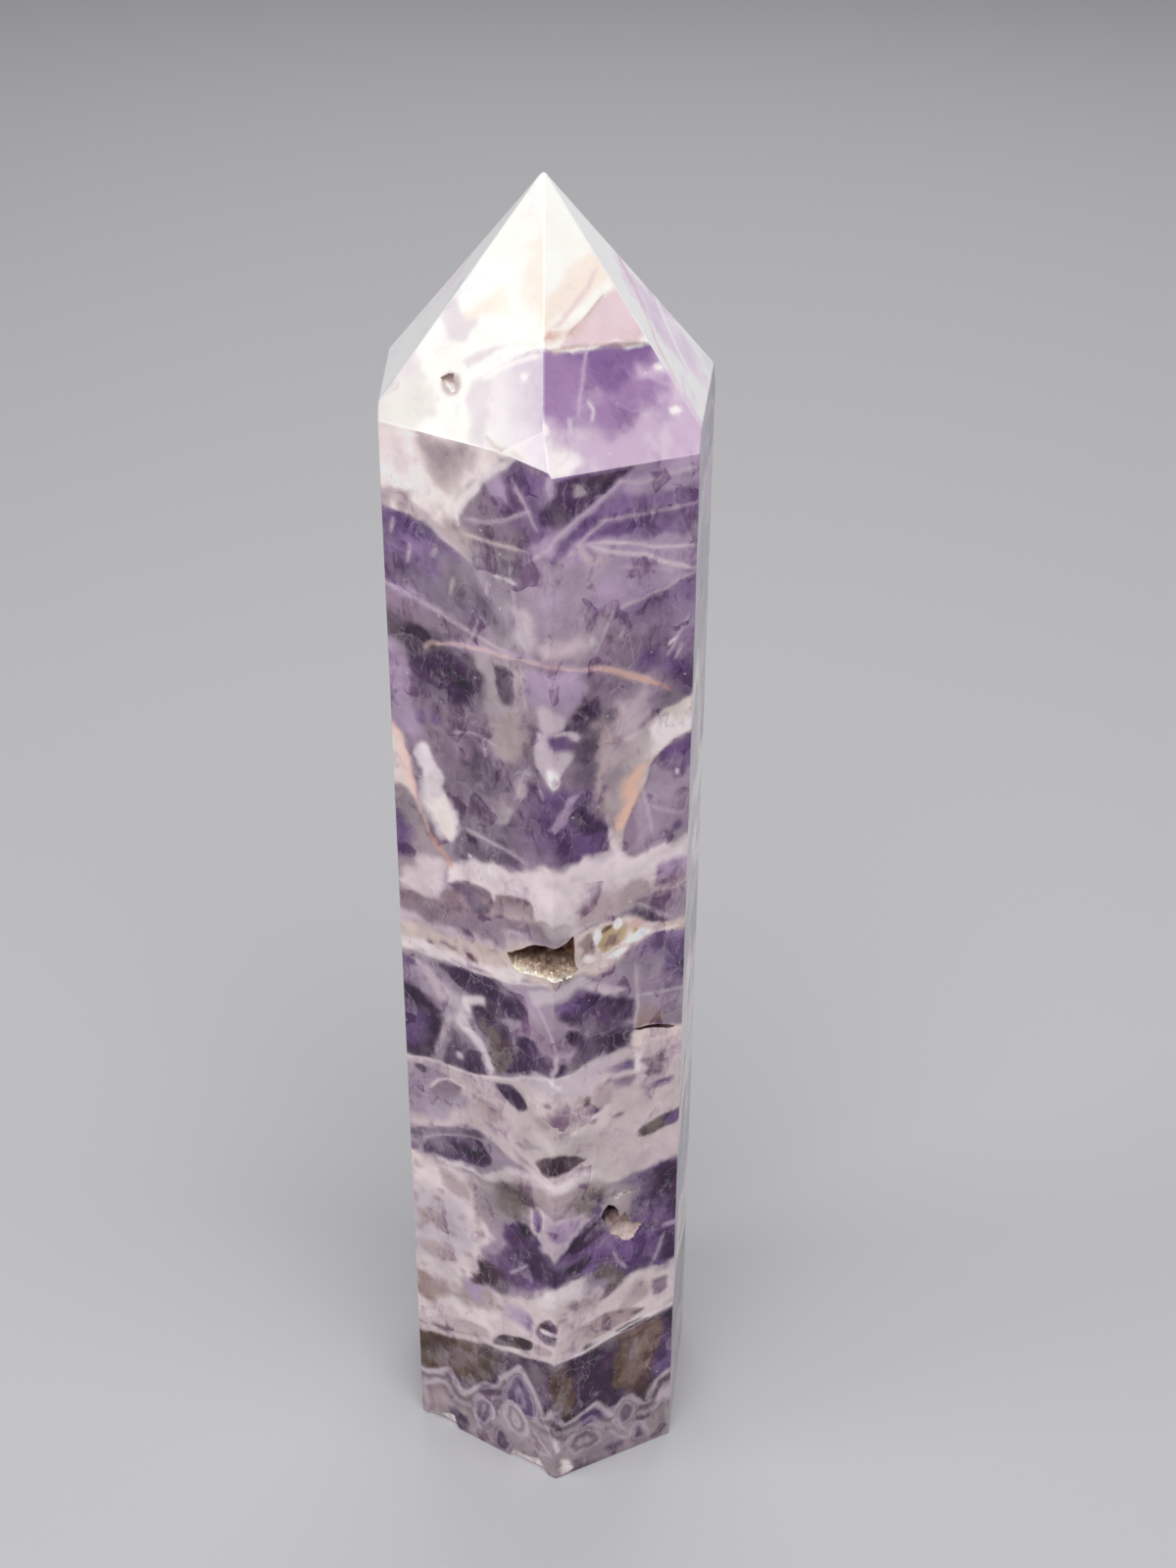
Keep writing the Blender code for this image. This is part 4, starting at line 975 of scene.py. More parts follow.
def lay_ground_face(mesh, name, step, outlines):
    """Fills one ground plane's outline with triangles that follow the painted outlines."""
    sheet = SHEETS[name]
    rim = [edge for edge in mesh.edges if len(edge.link_faces) == 1 and sheet.holds(edge.verts, ON_RIM)]
    rim_verts = list(dict.fromkeys(vertex for edge in rim for vertex in edge.verts))
    number = {vertex: k for k, vertex in enumerate(rim_verts)}
    rim_places = np.array([sheet.flat(vertex.co) for vertex in rim_verts])
    rim_edges = [tuple(number[vertex] for vertex in edge.verts) for edge in rim]
    starts, ends = (rim_places[list(column)] for column in zip(*rim_edges))

    marks, mark_edges = trace(name, outlines, starts, ends, len(rim_verts))
    places = np.concatenate((rim_places, marks, uneven_grid(starts, ends, step, marks)))
    laid, sides, triangles, origins, side_origins, _ = geometry.delaunay_2d_cdt(
        [Vector(place) for place in places], rim_edges + mark_edges, [], 0, JOIN, True)
    wanted = reachable(sides, side_origins, triangles, origins, len(rim), len(rim_verts) + len(marks))
    vertices = {}
    upright = sheet.side.cross(sheet.up).dot(sheet.normal) > 0.0
    for triangle in wanted:
        for k in triangle:
            if k not in vertices:
                own = [origin for origin in origins[k] if origin < len(rim_verts)]
                vertices[k] = rim_verts[own[0]] if own else mesh.verts.new(sheet.solid(*laid[k]))
        corners = [vertices[k] for k in triangle]
        if len(set(corners)) == 3:
            mesh.faces.new(corners if upright else corners[::-1])


def reachable(sides, side_origins, triangles, origins, rim_count, grid_start):
    """The triangles that can be reached from a grid point without crossing the rim."""
    walls = {frozenset(side) for side, own in zip(sides, side_origins) if any(k < rim_count for k in own)}
    beside = {}
    for number, triangle in enumerate(triangles):
        for k in range(3):
            beside.setdefault(frozenset((triangle[k], triangle[k - 1])), []).append(number)
    on_grid = {k for k, own in enumerate(origins) if any(origin >= grid_start for origin in own)}
    found = {number for number, triangle in enumerate(triangles) if any(k in on_grid for k in triangle)}
    front = list(found)
    while front:
        triangle = triangles[front.pop()]
        for k in range(3):
            side = frozenset((triangle[k], triangle[k - 1]))
            new = set() if side in walls else set(beside[side]) - found
            found |= new
            front += new
    return [triangles[number] for number in sorted(found)]


# Marks

# A mark has a colour, how softly it ends, how strongly it shows, its outline on the chart, the way it fades
# in degrees, and whether the quartz grew in rings there
Mark = namedtuple("Mark", "colour soft strength outline fade rings", defaults=(None, False))


def linear(name):
    """A named colour in linear light."""
    value = np.array(COLOURS[name], dtype=float) / 255.0
    return np.where(value <= 0.04045, value / 12.92, ((value + 0.055) / 1.055) ** 2.4)


def read_rows(text):
    """Each row's words, and its places as an array. A row may run on in indented lines."""
    for row in text.replace("\n  ", " ").split("\n"):
        if row and not row.startswith("#"):
            words, places = row.split(": ")
            places = [[float(number) for number in place.split(",")] for place in places.split()]
            yield words.split(), np.array(places)


def rounded(points, closed):
    """One round of corner cutting."""
    following = np.roll(points, -1, axis=0)
    near, far = 0.88 * points + 0.12 * following, 0.12 * points + 0.88 * following
    cut = np.stack((near, far), axis=1).reshape(-1, 2)
    if closed:
        return cut
    return np.concatenate((points[:1], cut[:-2], points[-1:]))


def evenly(points, step, closed):
    """The same line with places no further than `step` apart."""
    path = np.concatenate((points, points[:1])) if closed else points
    gaps = np.hypot(*np.diff(path, axis=0).T)
    along = np.concatenate(([0.0], np.cumsum(gaps)))
    count = max(3, int(math.ceil(along[-1] / step)))
    places = np.linspace(0.0, along[-1], count + 1)
    if closed:
        places = places[:-1]
    return np.column_stack([np.interp(places, along, path[:, k]) for k in range(2)])


def ragged(points, amount, seed):
    """Moves each place a little, in a smooth random way."""
    shift = [fractal(lifted(points, 0.37), 2.6, seed + 11 * k, 3) for k in range(2)]
    return points + amount * np.column_stack(shift)


def ribbon(points, width):
    """A closed outline round an open line, thinner towards its ends."""
    ahead = np.gradient(points, axis=0)
    ahead /= np.maximum(np.hypot(*ahead.T), 1e-9)[:, None]
    across = np.column_stack((-ahead[:, 1], ahead[:, 0]))
    share = np.linspace(0.0, 1.0, len(points))
    taper = 0.25 + 0.75 * smooth(np.minimum(share, 1.0 - share) * 7.0)
    uneven = 1.0 + 0.35 * fractal(lifted(points), 1.7, 91, 2)
    half = across * (0.5 * width * taper * uneven)[:, None]
    return np.concatenate((points + half, (points - half)[::-1]))


def make_patches(text, seed):
    """Marks from rows of outlines. A broad patch has a more ragged outline than a narrow one."""
    marks = []
    for number, ((colour, soft, *way), places) in enumerate(read_rows(text)):
        outline = evenly(rounded(places, True), OUTLINE_STEP, True)
        size = float(np.ptp(outline, axis=0).min())
        outline = ragged(outline, min(0.75, 0.10 * size + 0.10), seed + number)
        rings = way == ["rings"]
        fade = float(way[0]) if way and not rings else None
        marks.append(Mark(linear(colour), float(soft), 1.0, outline, fade, rings))
    return marks


def make_lines(text, seed):
    """Veins from rows of places. A wide one ends more softly than a narrow one."""
    marks = []
    for number, ((colour, width), places) in enumerate(read_rows(text)):
        line = ragged(evenly(rounded(places, False), OUTLINE_STEP, False), LINE_RAGGED, seed + number)
        outline = ribbon(line, float(width))
        marks.append(Mark(linear(colour), 0.25 + 0.3 * float(width), LINE_STRENGTH, outline))
    return marks


def make_inclusions(text, seed):
    """Small lens-shaped inclusions with uneven rims."""
    marks = []
    turns = np.linspace(0.0, 2.0 * math.pi, INCLUSION_CORNERS + 1)[:-1]
    for (colour, soft), places in read_rows(text):
        for across, height, width, depth, lean in places:
            shape = np.column_stack((0.5 * width * np.cos(turns), 0.5 * depth * np.sin(turns)))
            angle = math.radians(lean)
            turn = np.array(((math.cos(angle), math.sin(angle)), (-math.sin(angle), math.cos(angle))))
            uneven = 0.12 + 0.12 * min(width, depth)
            outline = ragged(shape @ turn + (across, height), uneven, seed + len(marks))
            marks.append(Mark(linear(colour), float(soft), INCLUSION_STRENGTH, outline))
    return marks


def turned_copy(marks, edge, sign, seed):
    """The marks mirrored about a column edge, stretched, and drifting up and down away from it.

    Some of the small ones are left out, and the others are moved about.
    """
    chance = np.random.default_rng(seed)
    copies = []
    for mark in marks:
        small = np.ptp(mark.outline, axis=0).max() < SMALL_MARK
        if small and chance.random() < LEFT_OUT:
            continue
        mirrored = mark.outline.copy()
        mirrored[:, 0] = edge + SIDE_STRETCH * (edge - mark.outline[:, 0])
        away = np.abs(mirrored[:, 0] - edge)
        drift = sign * smooth(away / 9.0) * (4.0 * np.sin(away / 8.2 + 0.6) + 1.3 * np.sin(away / 3.1))
        base = lifted(mirrored)
        mirrored[:, 1] += drift + smooth(away / 8.0) * 1.2 * fractal(base, 7.0, seed, 2)
        mirrored[:, 0] += smooth(away / 8.0) * 1.6 * fractal(base, 9.0, seed + 5, 2)
        if small:
            mirrored += smooth(away.mean() / 6.0) * chance.uniform(-2.0, 2.0, 2)
        fade = None if mark.fade is None else 180.0 - mark.fade
        copies.append(mark._replace(outline=mirrored, fade=fade))
    return copies


def back_vein():
    """The milky vein up the back edge, where the two mirrored patterns meet."""
    heights = np.arange(-4.0, 182.0, OUTLINE_STEP)
    base = np.column_stack((heights * 0.0, heights, heights * 0.0))
    middle = STARTS["back_left"] - 1.4 + 1.6 * fractal(base, 16.0, 31, 3)
    half = 2.5 + 1.3 * fractal(base, 9.0, 47, 3)
    left, core, right = (np.column_stack((middle + shift, heights)) for shift in (-half, 0.0, half))
    return [
        Mark(linear("pale"), 1.2, 1.0, np.concatenate((left, right[::-1]))),
        Mark(linear("milk"), 0.6, 0.9, ribbon(core, 1.6)),
        Mark(linear("rusty"), 0.4, 0.7, ribbon(core + (1.5, 0.0), 0.5)),
    ]


def trimmed(marks, low, high):
    """The marks that reach into a stretch of the chart."""
    return [mark for mark in marks if mark.outline[:, 0].max() > low and mark.outline[:, 0].min() < high]


def all_marks():
    """Each sheet's marks. The front flats have the photo's own, and the other flats mirrored copies."""
    column = make_patches(COLUMN_PATCHES, 100)
    column += make_inclusions(INCLUSIONS, 900) + make_lines(COLUMN_LINES, 600)
    right = turned_copy(column, STARTS["right"], 1.0, 3)
    left = turned_copy(column, STARTS["front_left"], -1.0, 4)
    left = [mark._replace(outline=mark.outline + (GIRTH, 0.0)) for mark in left]
    left_facet = make_patches(LEFT_FACET_PATCHES, 2000) + make_lines(LEFT_FACET_LINES, 2500)
    marks = {
        "front_left": trimmed(column, -26.0, 0.3),
        "front_right": trimmed(column, -0.3, 20.6),
        "right": trimmed(right, 19.8, 44.8),
        "back_right": trimmed(right, 44.0, 69.0) + back_vein(),
        "back_left": trimmed(left, 68.0, 93.2) + back_vein(),
        "left": trimmed(left, 92.4, 115.0),
        "front_left_point": left_facet,
        "front_right_point": make_patches(RIGHT_FACET_PATCHES, 3000) + make_lines(RIGHT_FACET_LINES, 3500),
        "nick": left_facet,
        "base": [],
    }
    for number, name in enumerate(("left_point", "right_point", "back_right_point", "back_left_point")):
        seed = 4000 + 300 * number
        own = make_patches(SIDE_FACET_PATCHES, seed) + make_lines(SIDE_FACET_LINES, seed + 500)
        mirror = (-1.0, 1.0) if number % 2 else (1.0, 1.0)
        marks[name] = [mark._replace(outline=mark.outline * mirror) for mark in own]
    return marks


MARKS = all_marks()


# Painting

def painted(name, places, points):
    """Linear colours of chart places on one sheet, and how deep each lies in layered growth."""
    colours = np.tile(linear("body" if SHEETS[name].kind in ("flat", "base") else "snow"), (len(places), 1))
    growth = np.full(len(places), -1.0)
    drift = np.column_stack([fractal(points, 3.4, seed, 4) for seed in (201, 211)])
    # Some stretches of an edge are crisp and others fade into what lies beside them
    feather = smooth((fractal(points, 6.0, 221, 2) - 0.05) / 0.5)
    thin = smooth((fractal(points, 2.6, 231, 4) + 0.05) / 0.55)
    for mark in MARKS[name]:
        soft, crisp = mark.soft, mark.soft <= CRISP
        low, high = mark.outline.min(axis=0) - 2.4 * soft, mark.outline.max(axis=0) + 2.4 * soft
        near = np.nonzero(np.all((places > low) & (places < high), axis=1))[0]
        if len(near) == 0:
            continue
        starts, ends = mark.outline, np.roll(mark.outline, -1, axis=0)
        crossed = starts[:, 0] * ends[:, 1] - starts[:, 1] * ends[:, 0]
        breadth = abs(crossed.sum()) / np.linalg.norm(ends - starts, axis=1).sum()
        loose = float(smooth((breadth - 1.0) / 3.0))
        spots = places[near] + drift[near] * min(2.4, 1.6 * soft) * (not crisp)
        ending = soft * (1.0 + (1.2 if crisp else 3.0) * loose * feather[near])
        gap = distance_to(spots, starts, ends, RING_REACH if mark.rings else 2.0 * soft + 0.02)
        gap = np.where(inside(spots, starts, ends), gap, -gap)
        # Inside the outline the edge softens further than outside it
        share = smooth(0.5 + gap / np.where(gap > 0.0, ending, soft))
        share *= mark.strength * (1.0 - (0.16 if crisp else 0.24) * loose * thin[near])
        if mark.rings:
            growth[near] = np.where(gap > -0.1, gap, growth[near])
        elif mark.fade is not None:
            ahead = np.array((math.cos(math.radians(mark.fade)), math.sin(math.radians(mark.fade))))
            along = mark.outline @ ahead
            along = (places[near] @ ahead - along.min()) / np.ptp(along) + 0.10 * drift[near, 0]
            share *= 1.0 - 0.80 * smooth((along - 0.15) / 0.85)
        colours[near] = blended(colours[near], mark.colour, share)
    return colours, growth


def blended(first, second, share):
    """Two colours, or rows of them, mixed by each row's share of the second."""
    share = share[:, None]
    return first * (1.0 - share) + second * share


def mottled(colours, points, amount):
    """Cloudiness, milky wisps and slight changes of hue, finer than the marks."""
    dark = 1.0 - smooth((colours @ np.array((0.3, 0.5, 0.2)) - 0.04) / 0.36)
    depth = amount * (0.22 + 0.34 * dark)
    shade = 1.0 + depth * (fractal(points, 5.5, 61, 4) + 0.6 * fractal(points, 1.6, 71, 3))
    hue = amount * fractal(points, 7.5, 83, 2)
    tint = 1.0 + (0.25 + dark)[:, None] * hue[:, None] * np.array((0.03, -0.05, 0.07))
    wisps = fractal(points * np.array((1.0, 1.0, 0.7)), 6.0, 97, 4)
    wisps = amount * (0.10 + 0.06 * dark) * smooth((wisps - 0.10) / 0.40)
    return blended(colours * shade[:, None] * tint, linear("milk"), wisps)


def hollow_colours(colours, places, raw):
    """Hollows are broken quartz: cream floors and gold in the crystal pocket, with painted shade that darkens
    their roofs.
    """
    for sheet, around, height, reach, low_colour, high_colour, rise in HOLLOWS:
        middle = unchart(sheet, [(around, height)])[0]
        near = np.nonzero((raw > 0.0) & (np.linalg.norm(places - middle, axis=1) < reach))[0]
        if len(near) == 0:
            continue
        rising = smooth((places[near, 2] - height) / rise + 0.5)
        own = blended(linear(low_colour), linear(high_colour), rising)
        own = own * (1.0 + 0.45 * fractal(places[near], 0.8, 55, 3))[:, None] / GAIN["flat"]
        colours[near] = blended(colours[near], own, raw[near])
    return colours


def store_colours(data, domain, colours):
    data.attributes.new("stone_colour", "FLOAT_COLOR", domain)
    rgba = np.column_stack((colours, np.ones(len(colours))))
    data.attributes["stone_colour"].data.foreach_set("color", rgba.ravel())


def colour_mesh(data):
    """Stores each face corner's colour, and how raw the surface is there."""
    flat = np.zeros(len(data.vertices) * 3)
    data.vertices.foreach_get("co", flat)
    points = flat.reshape(-1, 3)
    corners = np.zeros(len(data.loops), dtype=np.int64)
    data.loops.foreach_get("vertex_index", corners)
    corners = corners.reshape(-1, 3)
    centres = points[corners].mean(axis=1)
    gaps = np.column_stack([centres @ np.array(sheet.normal) - sheet.reach for sheet in SHEETS.values()])
    owners = np.repeat(gaps.argmax(axis=1), 3)
    depths = np.repeat(-gaps.max(axis=1), 3)
    # A corner's colour is read a little inside its face, so that the faces beside a crisp outline differ
    places = (centres[:, None, :] + 0.82 * (points[corners] - centres[:, None, :])).reshape(-1, 3)
    colours = np.zeros((len(places), 3))
    growth = np.full(len(places), -1.0)
    for number, (name, sheet) in enumerate(SHEETS.items()):
        rows = np.nonzero(owners == number)[0]
        if len(rows) == 0:
            continue
        own, growth[rows] = painted(name, chart(name, places[rows]), places[rows])
        if sheet.kind == "base":
            own[:] = linear("agate")
        own = mottled(own, places[rows], 1.0 if sheet.kind in ("flat", "base") else 0.35)
        key = name if name in GAIN else sheet.kind
        colours[rows] = np.maximum(own - VEIL[key], 0.30 * own) / GAIN[key]
    raw = smooth((depths - 0.07) / 0.08)
    store_colours(data, "CORNER", np.clip(hollow_colours(colours, places, raw), DARKEST, LIGHTEST))
    for key, values in (("raw", raw), ("growth", growth)):
        data.attributes.new(key, "FLOAT", "CORNER")
        data.attributes[key].data.foreach_set("value", values)


# Materials

class Nodes:
    """Short calls for building one material's nodes."""

    def __init__(self, name):
        self.material = bpy.data.materials.new(name)
        self.material.use_nodes = True
        self.tree = self.material.node_tree
        self.shader = self.tree.nodes["Principled BSDF"].inputs

    def add(self, kind, inputs=(), **settings):
        node = self.tree.nodes.new(kind)
        for key, value in settings.items():
            setattr(node, key, value)
        for key, value in dict(inputs).items():
            self.put(node.inputs[key], value)
        return node

    def put(self, socket, value):
        if isinstance(value, bpy.types.NodeSocket):
            self.tree.links.new(value, socket)
        else:
            socket.default_value = value

    def math(self, operation, first, second=0.0, third=0.0):
        inputs = {0: first, 1: second, 2: third}
        return self.add("ShaderNodeMath", inputs, operation=operation).outputs[0]

    def times(self, first, second):
        return self.math("MULTIPLY", first, second)

    def ramp(self, value, low, high, to_low=0.0, to_high=1.0):
        inputs = dict(enumerate((value, low, high, to_low, to_high)))
        return self.add("ShaderNodeMapRange", inputs, interpolation_type="SMOOTHSTEP").outputs[0]

    def attribute(self, name, output):
        return self.add("ShaderNodeAttribute", attribute_name=name).outputs[output]

    def place(self):
        """Where a point lies on its piece, in mm."""
        return self.stretch(self.add("ShaderNodeTexCoord").outputs["Object"], (MM, MM, MM))

    def stretch(self, place, scale, rotation=(0.0, 0.0, 0.0)):
        inputs = {"Vector": place, "Scale": scale, "Rotation": rotation}
        return self.add("ShaderNodeMapping", inputs).outputs[0]

    def noise(self, place, scale, detail, distortion=0.0):
        inputs = {
            "Vector": place, "Scale": scale, "Detail": detail, "Roughness": 0.6, "Distortion": distortion,
        }
        return self.add("ShaderNodeTexNoise", inputs).outputs["Fac"]

    def cells(self, place, scale, feature="F1"):
        return self.add("ShaderNodeTexVoronoi", {"Vector": place, "Scale": scale}, feature=feature).outputs

    def red(self, colour):
        return self.add("ShaderNodeSeparateColor", {0: colour}).outputs[0]

    def mix(self, share, first, second, blend="MIX"):
        inputs = {"Factor": share, 6: first, 7: second}
        return self.add("ShaderNodeMix", data_type="RGBA", blend_type=blend, inputs=inputs).outputs[2]

    def tinted(self, share, colour, tint):
        """A colour, multiplied by a tint where the share is 1."""
        return self.mix(share, colour, self.mix(1.0, colour, tint, "MULTIPLY"))

    def vector(self, operation, first, second):
        node = self.add("ShaderNodeVectorMath", {0: first, 1: second}, operation=operation)
        return node.outputs["Value" if operation == "DOT_PRODUCT" else "Vector"]

    def grains(self, place, scale):
        """Angular grains, about -1 to 1: each has a shade of its own and a slant across it."""
        cells = self.cells(place, scale)
        lean = self.vector("SUBTRACT", cells["Color"], (0.5, 0.5, 0.5))
        slant = self.vector("DOT_PRODUCT", lean, self.vector("SUBTRACT", place, cells["Position"]))
        own = self.math("SUBTRACT", self.red(cells["Color"]), 0.5)
        return self.math("MULTIPLY_ADD", slant, 2.6 * scale, own)

    def sheets(self, place, scale, width, detail):
        """Thin wandering sheets, 0 to 1."""
        value = self.noise(place, scale, detail, 0.3)
        return self.ramp(self.math("ABSOLUTE", self.math("SUBTRACT", value, 0.5)), 0.0, width, 1.0, 0.0)


def clouded(nodes, colour, place, moved, leaning, dark, calm):
    """Clouds, crystal grains of two sizes, and streaks along the growth."""
    shade = nodes.times(nodes.ramp(nodes.noise(place, 0.30, 3.0, 0.4), 0.3, 0.7, -1.0, 1.0), 0.26)
    large = nodes.grains(nodes.stretch(moved, (1.0, 1.0, 0.7)), 0.24)
    small = nodes.grains(moved, 0.62)
    streak = nodes.ramp(nodes.noise(leaning, 0.7, 2.0, 0.3), 0.3, 0.7, -1.0, 1.0)
    for part, share in ((large, 0.50), (small, 0.22), (streak, 0.18)):
        shade = nodes.math("MULTIPLY_ADD", part, share, shade)
    shade = nodes.times(shade, nodes.math("MULTIPLY_ADD", dark, 0.50, nodes.times(calm, 0.38)))
    colour = nodes.tinted(nodes.ramp(shade, 0.0, -0.6), colour, CLOUD_TINT)
    paler = nodes.times(nodes.ramp(shade, 0.05, 0.80, 0.0, 0.60), dark)
    return nodes.mix(paler, colour, CLOUD_PALE)


def veined(nodes, colour, place, moved, leaning, dark, value):
    """Milky sheets and healed fractures, fine and pale, and faint outlines of inner crystals."""
    patchy = nodes.ramp(nodes.noise(place, 0.14, 2.0), 0.46, 0.60)
    fine = nodes.times(nodes.sheets(leaning, 0.34, 0.020, 1.5), patchy)
    sheet = nodes.times(fine, nodes.math("MULTIPLY_ADD", dark, 0.13, 0.05))
    colour = nodes.mix(sheet, colour, SHEET_PALE)
    crack = nodes.ramp(nodes.cells(moved, 0.20, "DISTANCE_TO_EDGE")["Distance"], 0.003, 0.022, 1.0, 0.0)
    crack = nodes.times(nodes.times(crack, patchy), nodes.times(dark, 0.14))
    colour = nodes.mix(crack, colour, CRACK_PALE)
    outline = nodes.ramp(nodes.cells(moved, 0.42, "DISTANCE_TO_EDGE")["Distance"], 0.01, 0.09, 1.0, 0.0)
    faint = nodes.times(outline, nodes.ramp(nodes.noise(place, 0.10, 3.0), 0.46, 0.62, 0.0, 0.17))
    return nodes.tinted(nodes.times(faint, nodes.ramp(value, 0.80, 0.50)), colour, INNER_TINT)


def ringed(nodes, colour, place, growth):
    """Layers of growth, one inside the other."""
    wander = nodes.times(nodes.noise(place, 0.5, 3.0), 2.4)
    ring = nodes.math("SINE", nodes.math("MULTIPLY_ADD", growth, 2.0 * math.pi / RING_SPACING, wander))
    kept = nodes.times(nodes.ramp(growth, 0.05, 0.30), nodes.ramp(growth, 0.5, 5.0, 1.0, 0.15))
    over = nodes.times(nodes.ramp(ring, -0.1, 1.0), nodes.times(kept, 0.44))
    colour = nodes.mix(over, colour, RING_PALE)
    under = nodes.times(nodes.ramp(ring, 0.2, -1.0), nodes.times(kept, 0.70))
    return nodes.tinted(under, colour, RING_TINT)


def specked(nodes, colour, place):
    """Tiny bright specks where a cleavage catches the light."""
    specks = nodes.cells(place, 0.9)
    chosen = nodes.ramp(nodes.red(specks["Color"]), 0.955, 0.965)
    dot = nodes.ramp(specks["Distance"], 0.08, 0.20, 1.0, 0.0)
    return nodes.mix(nodes.times(nodes.times(chosen, dot), 0.40), colour, SPECK)


def stone_material():
    nodes = Nodes("polished_amethyst")
    place = nodes.place()
    colour = nodes.attribute("stone_colour", "Color")
    raw = nodes.attribute("raw", "Fac")

    # Dark, clear amethyst shows its inside more than milky quartz does, and the point is calm
    value = nodes.add("ShaderNodeRGBToBW", {0: colour}).outputs[0]
    up = nodes.add("ShaderNodeSeparateXYZ", {0: place}).outputs[2]
    calm = nodes.ramp(up, 168.0, 173.0, 1.0, 0.4)
    dark = nodes.times(nodes.ramp(value, 0.05, 0.62, 1.0, 0.0), calm)
    bent = nodes.add("ShaderNodeTexNoise", {"Vector": place, "Scale": 0.30, "Detail": 1.5}).outputs["Color"]
    moved = nodes.vector("ADD", place, nodes.vector("MULTIPLY", bent, (3.0, 3.0, 3.0)))
    leaning = nodes.stretch(moved, (1.8, 1.8, 0.30), (0.4, 0.5, 0.0))
    colour = clouded(nodes, colour, place, moved, leaning, dark, calm)
    colour = veined(nodes, colour, place, moved, leaning, dark, value)
    colour = ringed(nodes, colour, place, nodes.attribute("growth", "Fac"))
    nodes.put(nodes.shader["Base Color"], specked(nodes, colour, place))

    gloss = nodes.ramp(nodes.noise(place, 0.2, 3.0), 0.3, 0.7, 0.09, 0.15)
    nodes.put(nodes.shader["Roughness"], nodes.math("MULTIPLY_ADD", raw, 0.38, gloss))
    nodes.put(nodes.shader["IOR"], QUARTZ_IOR)
    nodes.put(nodes.shader["Specular IOR Level"], 0.32)
    wave = nodes.times(nodes.noise(place, 0.07, 2.0), 0.6)
    grain = nodes.times(nodes.noise(place, 2.2, 5.0), nodes.times(raw, 0.35))
    height = nodes.math("ADD", wave, grain)
    bump = nodes.add("ShaderNodeBump", {"Height": height, "Strength": 0.5, "Distance": 0.0004})
    nodes.put(nodes.shader["Normal"], bump.outputs[0])
    return nodes.material


def druse_material():
    nodes = Nodes("druse_quartz")
    place = nodes.place()
    cloud = nodes.ramp(nodes.noise(place, 2.5, 2.0), 0.3, 0.7, 0.75, 1.2)
    grey = nodes.add("ShaderNodeCombineColor", {0: cloud, 1: cloud, 2: cloud}).outputs[0]
    colour = nodes.mix(1.0, nodes.attribute("stone_colour", "Color"), grey, "MULTIPLY")
    nodes.put(nodes.shader["Base Color"], colour)
    nodes.put(nodes.shader["Roughness"], nodes.ramp(nodes.noise(place, 1.5, 2.0), 0.3, 0.7, 0.18, 0.35))
    nodes.put(nodes.shader["IOR"], QUARTZ_IOR)
    return nodes.material


# Pieces

def finish_object(name, data, material):
    item = bpy.data.objects.new(name, data)
    bpy.context.collection.objects.link(item)
    data.materials.append(material)
    return item


def quartz_point(foot, ahead, radius, length, turn):
    """The corners of one six-sided crystal with a pointed end."""
    side = ahead.orthogonal().normalized()
    other = ahead.cross(side)
    angles = [turn + math.pi * k / 3.0 for k in range(6)]
    ring = [(side * math.cos(angle) + other * math.sin(angle)) * radius for angle in angles]
    low = [foot + spoke for spoke in ring]
    high = [foot + ahead * (length - 1.1 * radius) + spoke * 0.92 for spoke in ring]
    return low + high + [foot + ahead * length]


def crystal_faces(first):
    """The foot, the sides and the tip of a crystal whose corners are numbered from `first`."""
    faces = [[first + k for k in range(5, -1, -1)]]
    for k in range(6):
        low, after = first + k, first + (k + 1) % 6
        faces += [(low, after, after + 6, low + 6), (low + 6, after + 6, first + 12)]
    return faces


def make_druse(data):
    """A crust of tiny crystals on the walls and the floor of the pocket."""
    chance = np.random.default_rng(DRUSE_SEED)
    sheet, around, height, reach, low_colour, high_colour, rise = HOLLOWS[0]
    middle = Vector(unchart(sheet, [(around, height)])[0])
    walls = [
        face for face in data.polygons
        if (face.center - middle).length < reach and depth_of(face.center) > DRUSE_WALL_DEPTH
        and face.area > DRUSE_WALL_AREA
    ]
    weights = np.array([
        face.area * (1.0 if face.center.z < height - DRUSE_BELOW else DRUSE_ABOVE_SHARE) for face in walls
    ])
    verts, faces, tints = [], [], []
    for pick in chance.choice(len(walls), DRUSE_COUNT, p=weights / weights.sum()):
        face = walls[pick]
        shares = chance.dirichlet((1.0, 1.0, 1.0))
        corners = [data.vertices[k].co * float(share) for k, share in zip(face.vertices, shares)]
        foot = sum(corners, Vector()) - face.normal * DRUSE_SINK
        ahead = (face.normal + Vector(chance.normal(0.0, DRUSE_LEAN, 3))).normalized()
        radius, length = chance.uniform(*DRUSE_RADIUS), chance.uniform(*DRUSE_LENGTH)
        crystal = quartz_point(foot, ahead, radius, length, chance.uniform(0.0, 1.0))
        if min(depth_of(corner) for corner in crystal[6:]) < DRUSE_DEPTH:
            continue
        faces += crystal_faces(len(verts))
        verts += crystal
        # Crystals high in the pocket take the painted shade of its roof.
        rising = float(smooth((foot.z - height) / rise + 0.5))
        tint = linear(low_colour) * (1.0 - rising) + linear(high_colour) * rising
        tints += [np.clip(tint * chance.uniform(*DRUSE_BRIGHTNESS), 0.0, LIGHTEST)] * len(crystal)
    crust = bpy.data.meshes.new("pocket_druse")
    crust.from_pydata([vert / MM for vert in verts], [], faces)
    store_colours(crust, "POINT", np.array(tints))
    druse = finish_object("pocket_druse", crust, druse_material())
    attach(druse, "root")


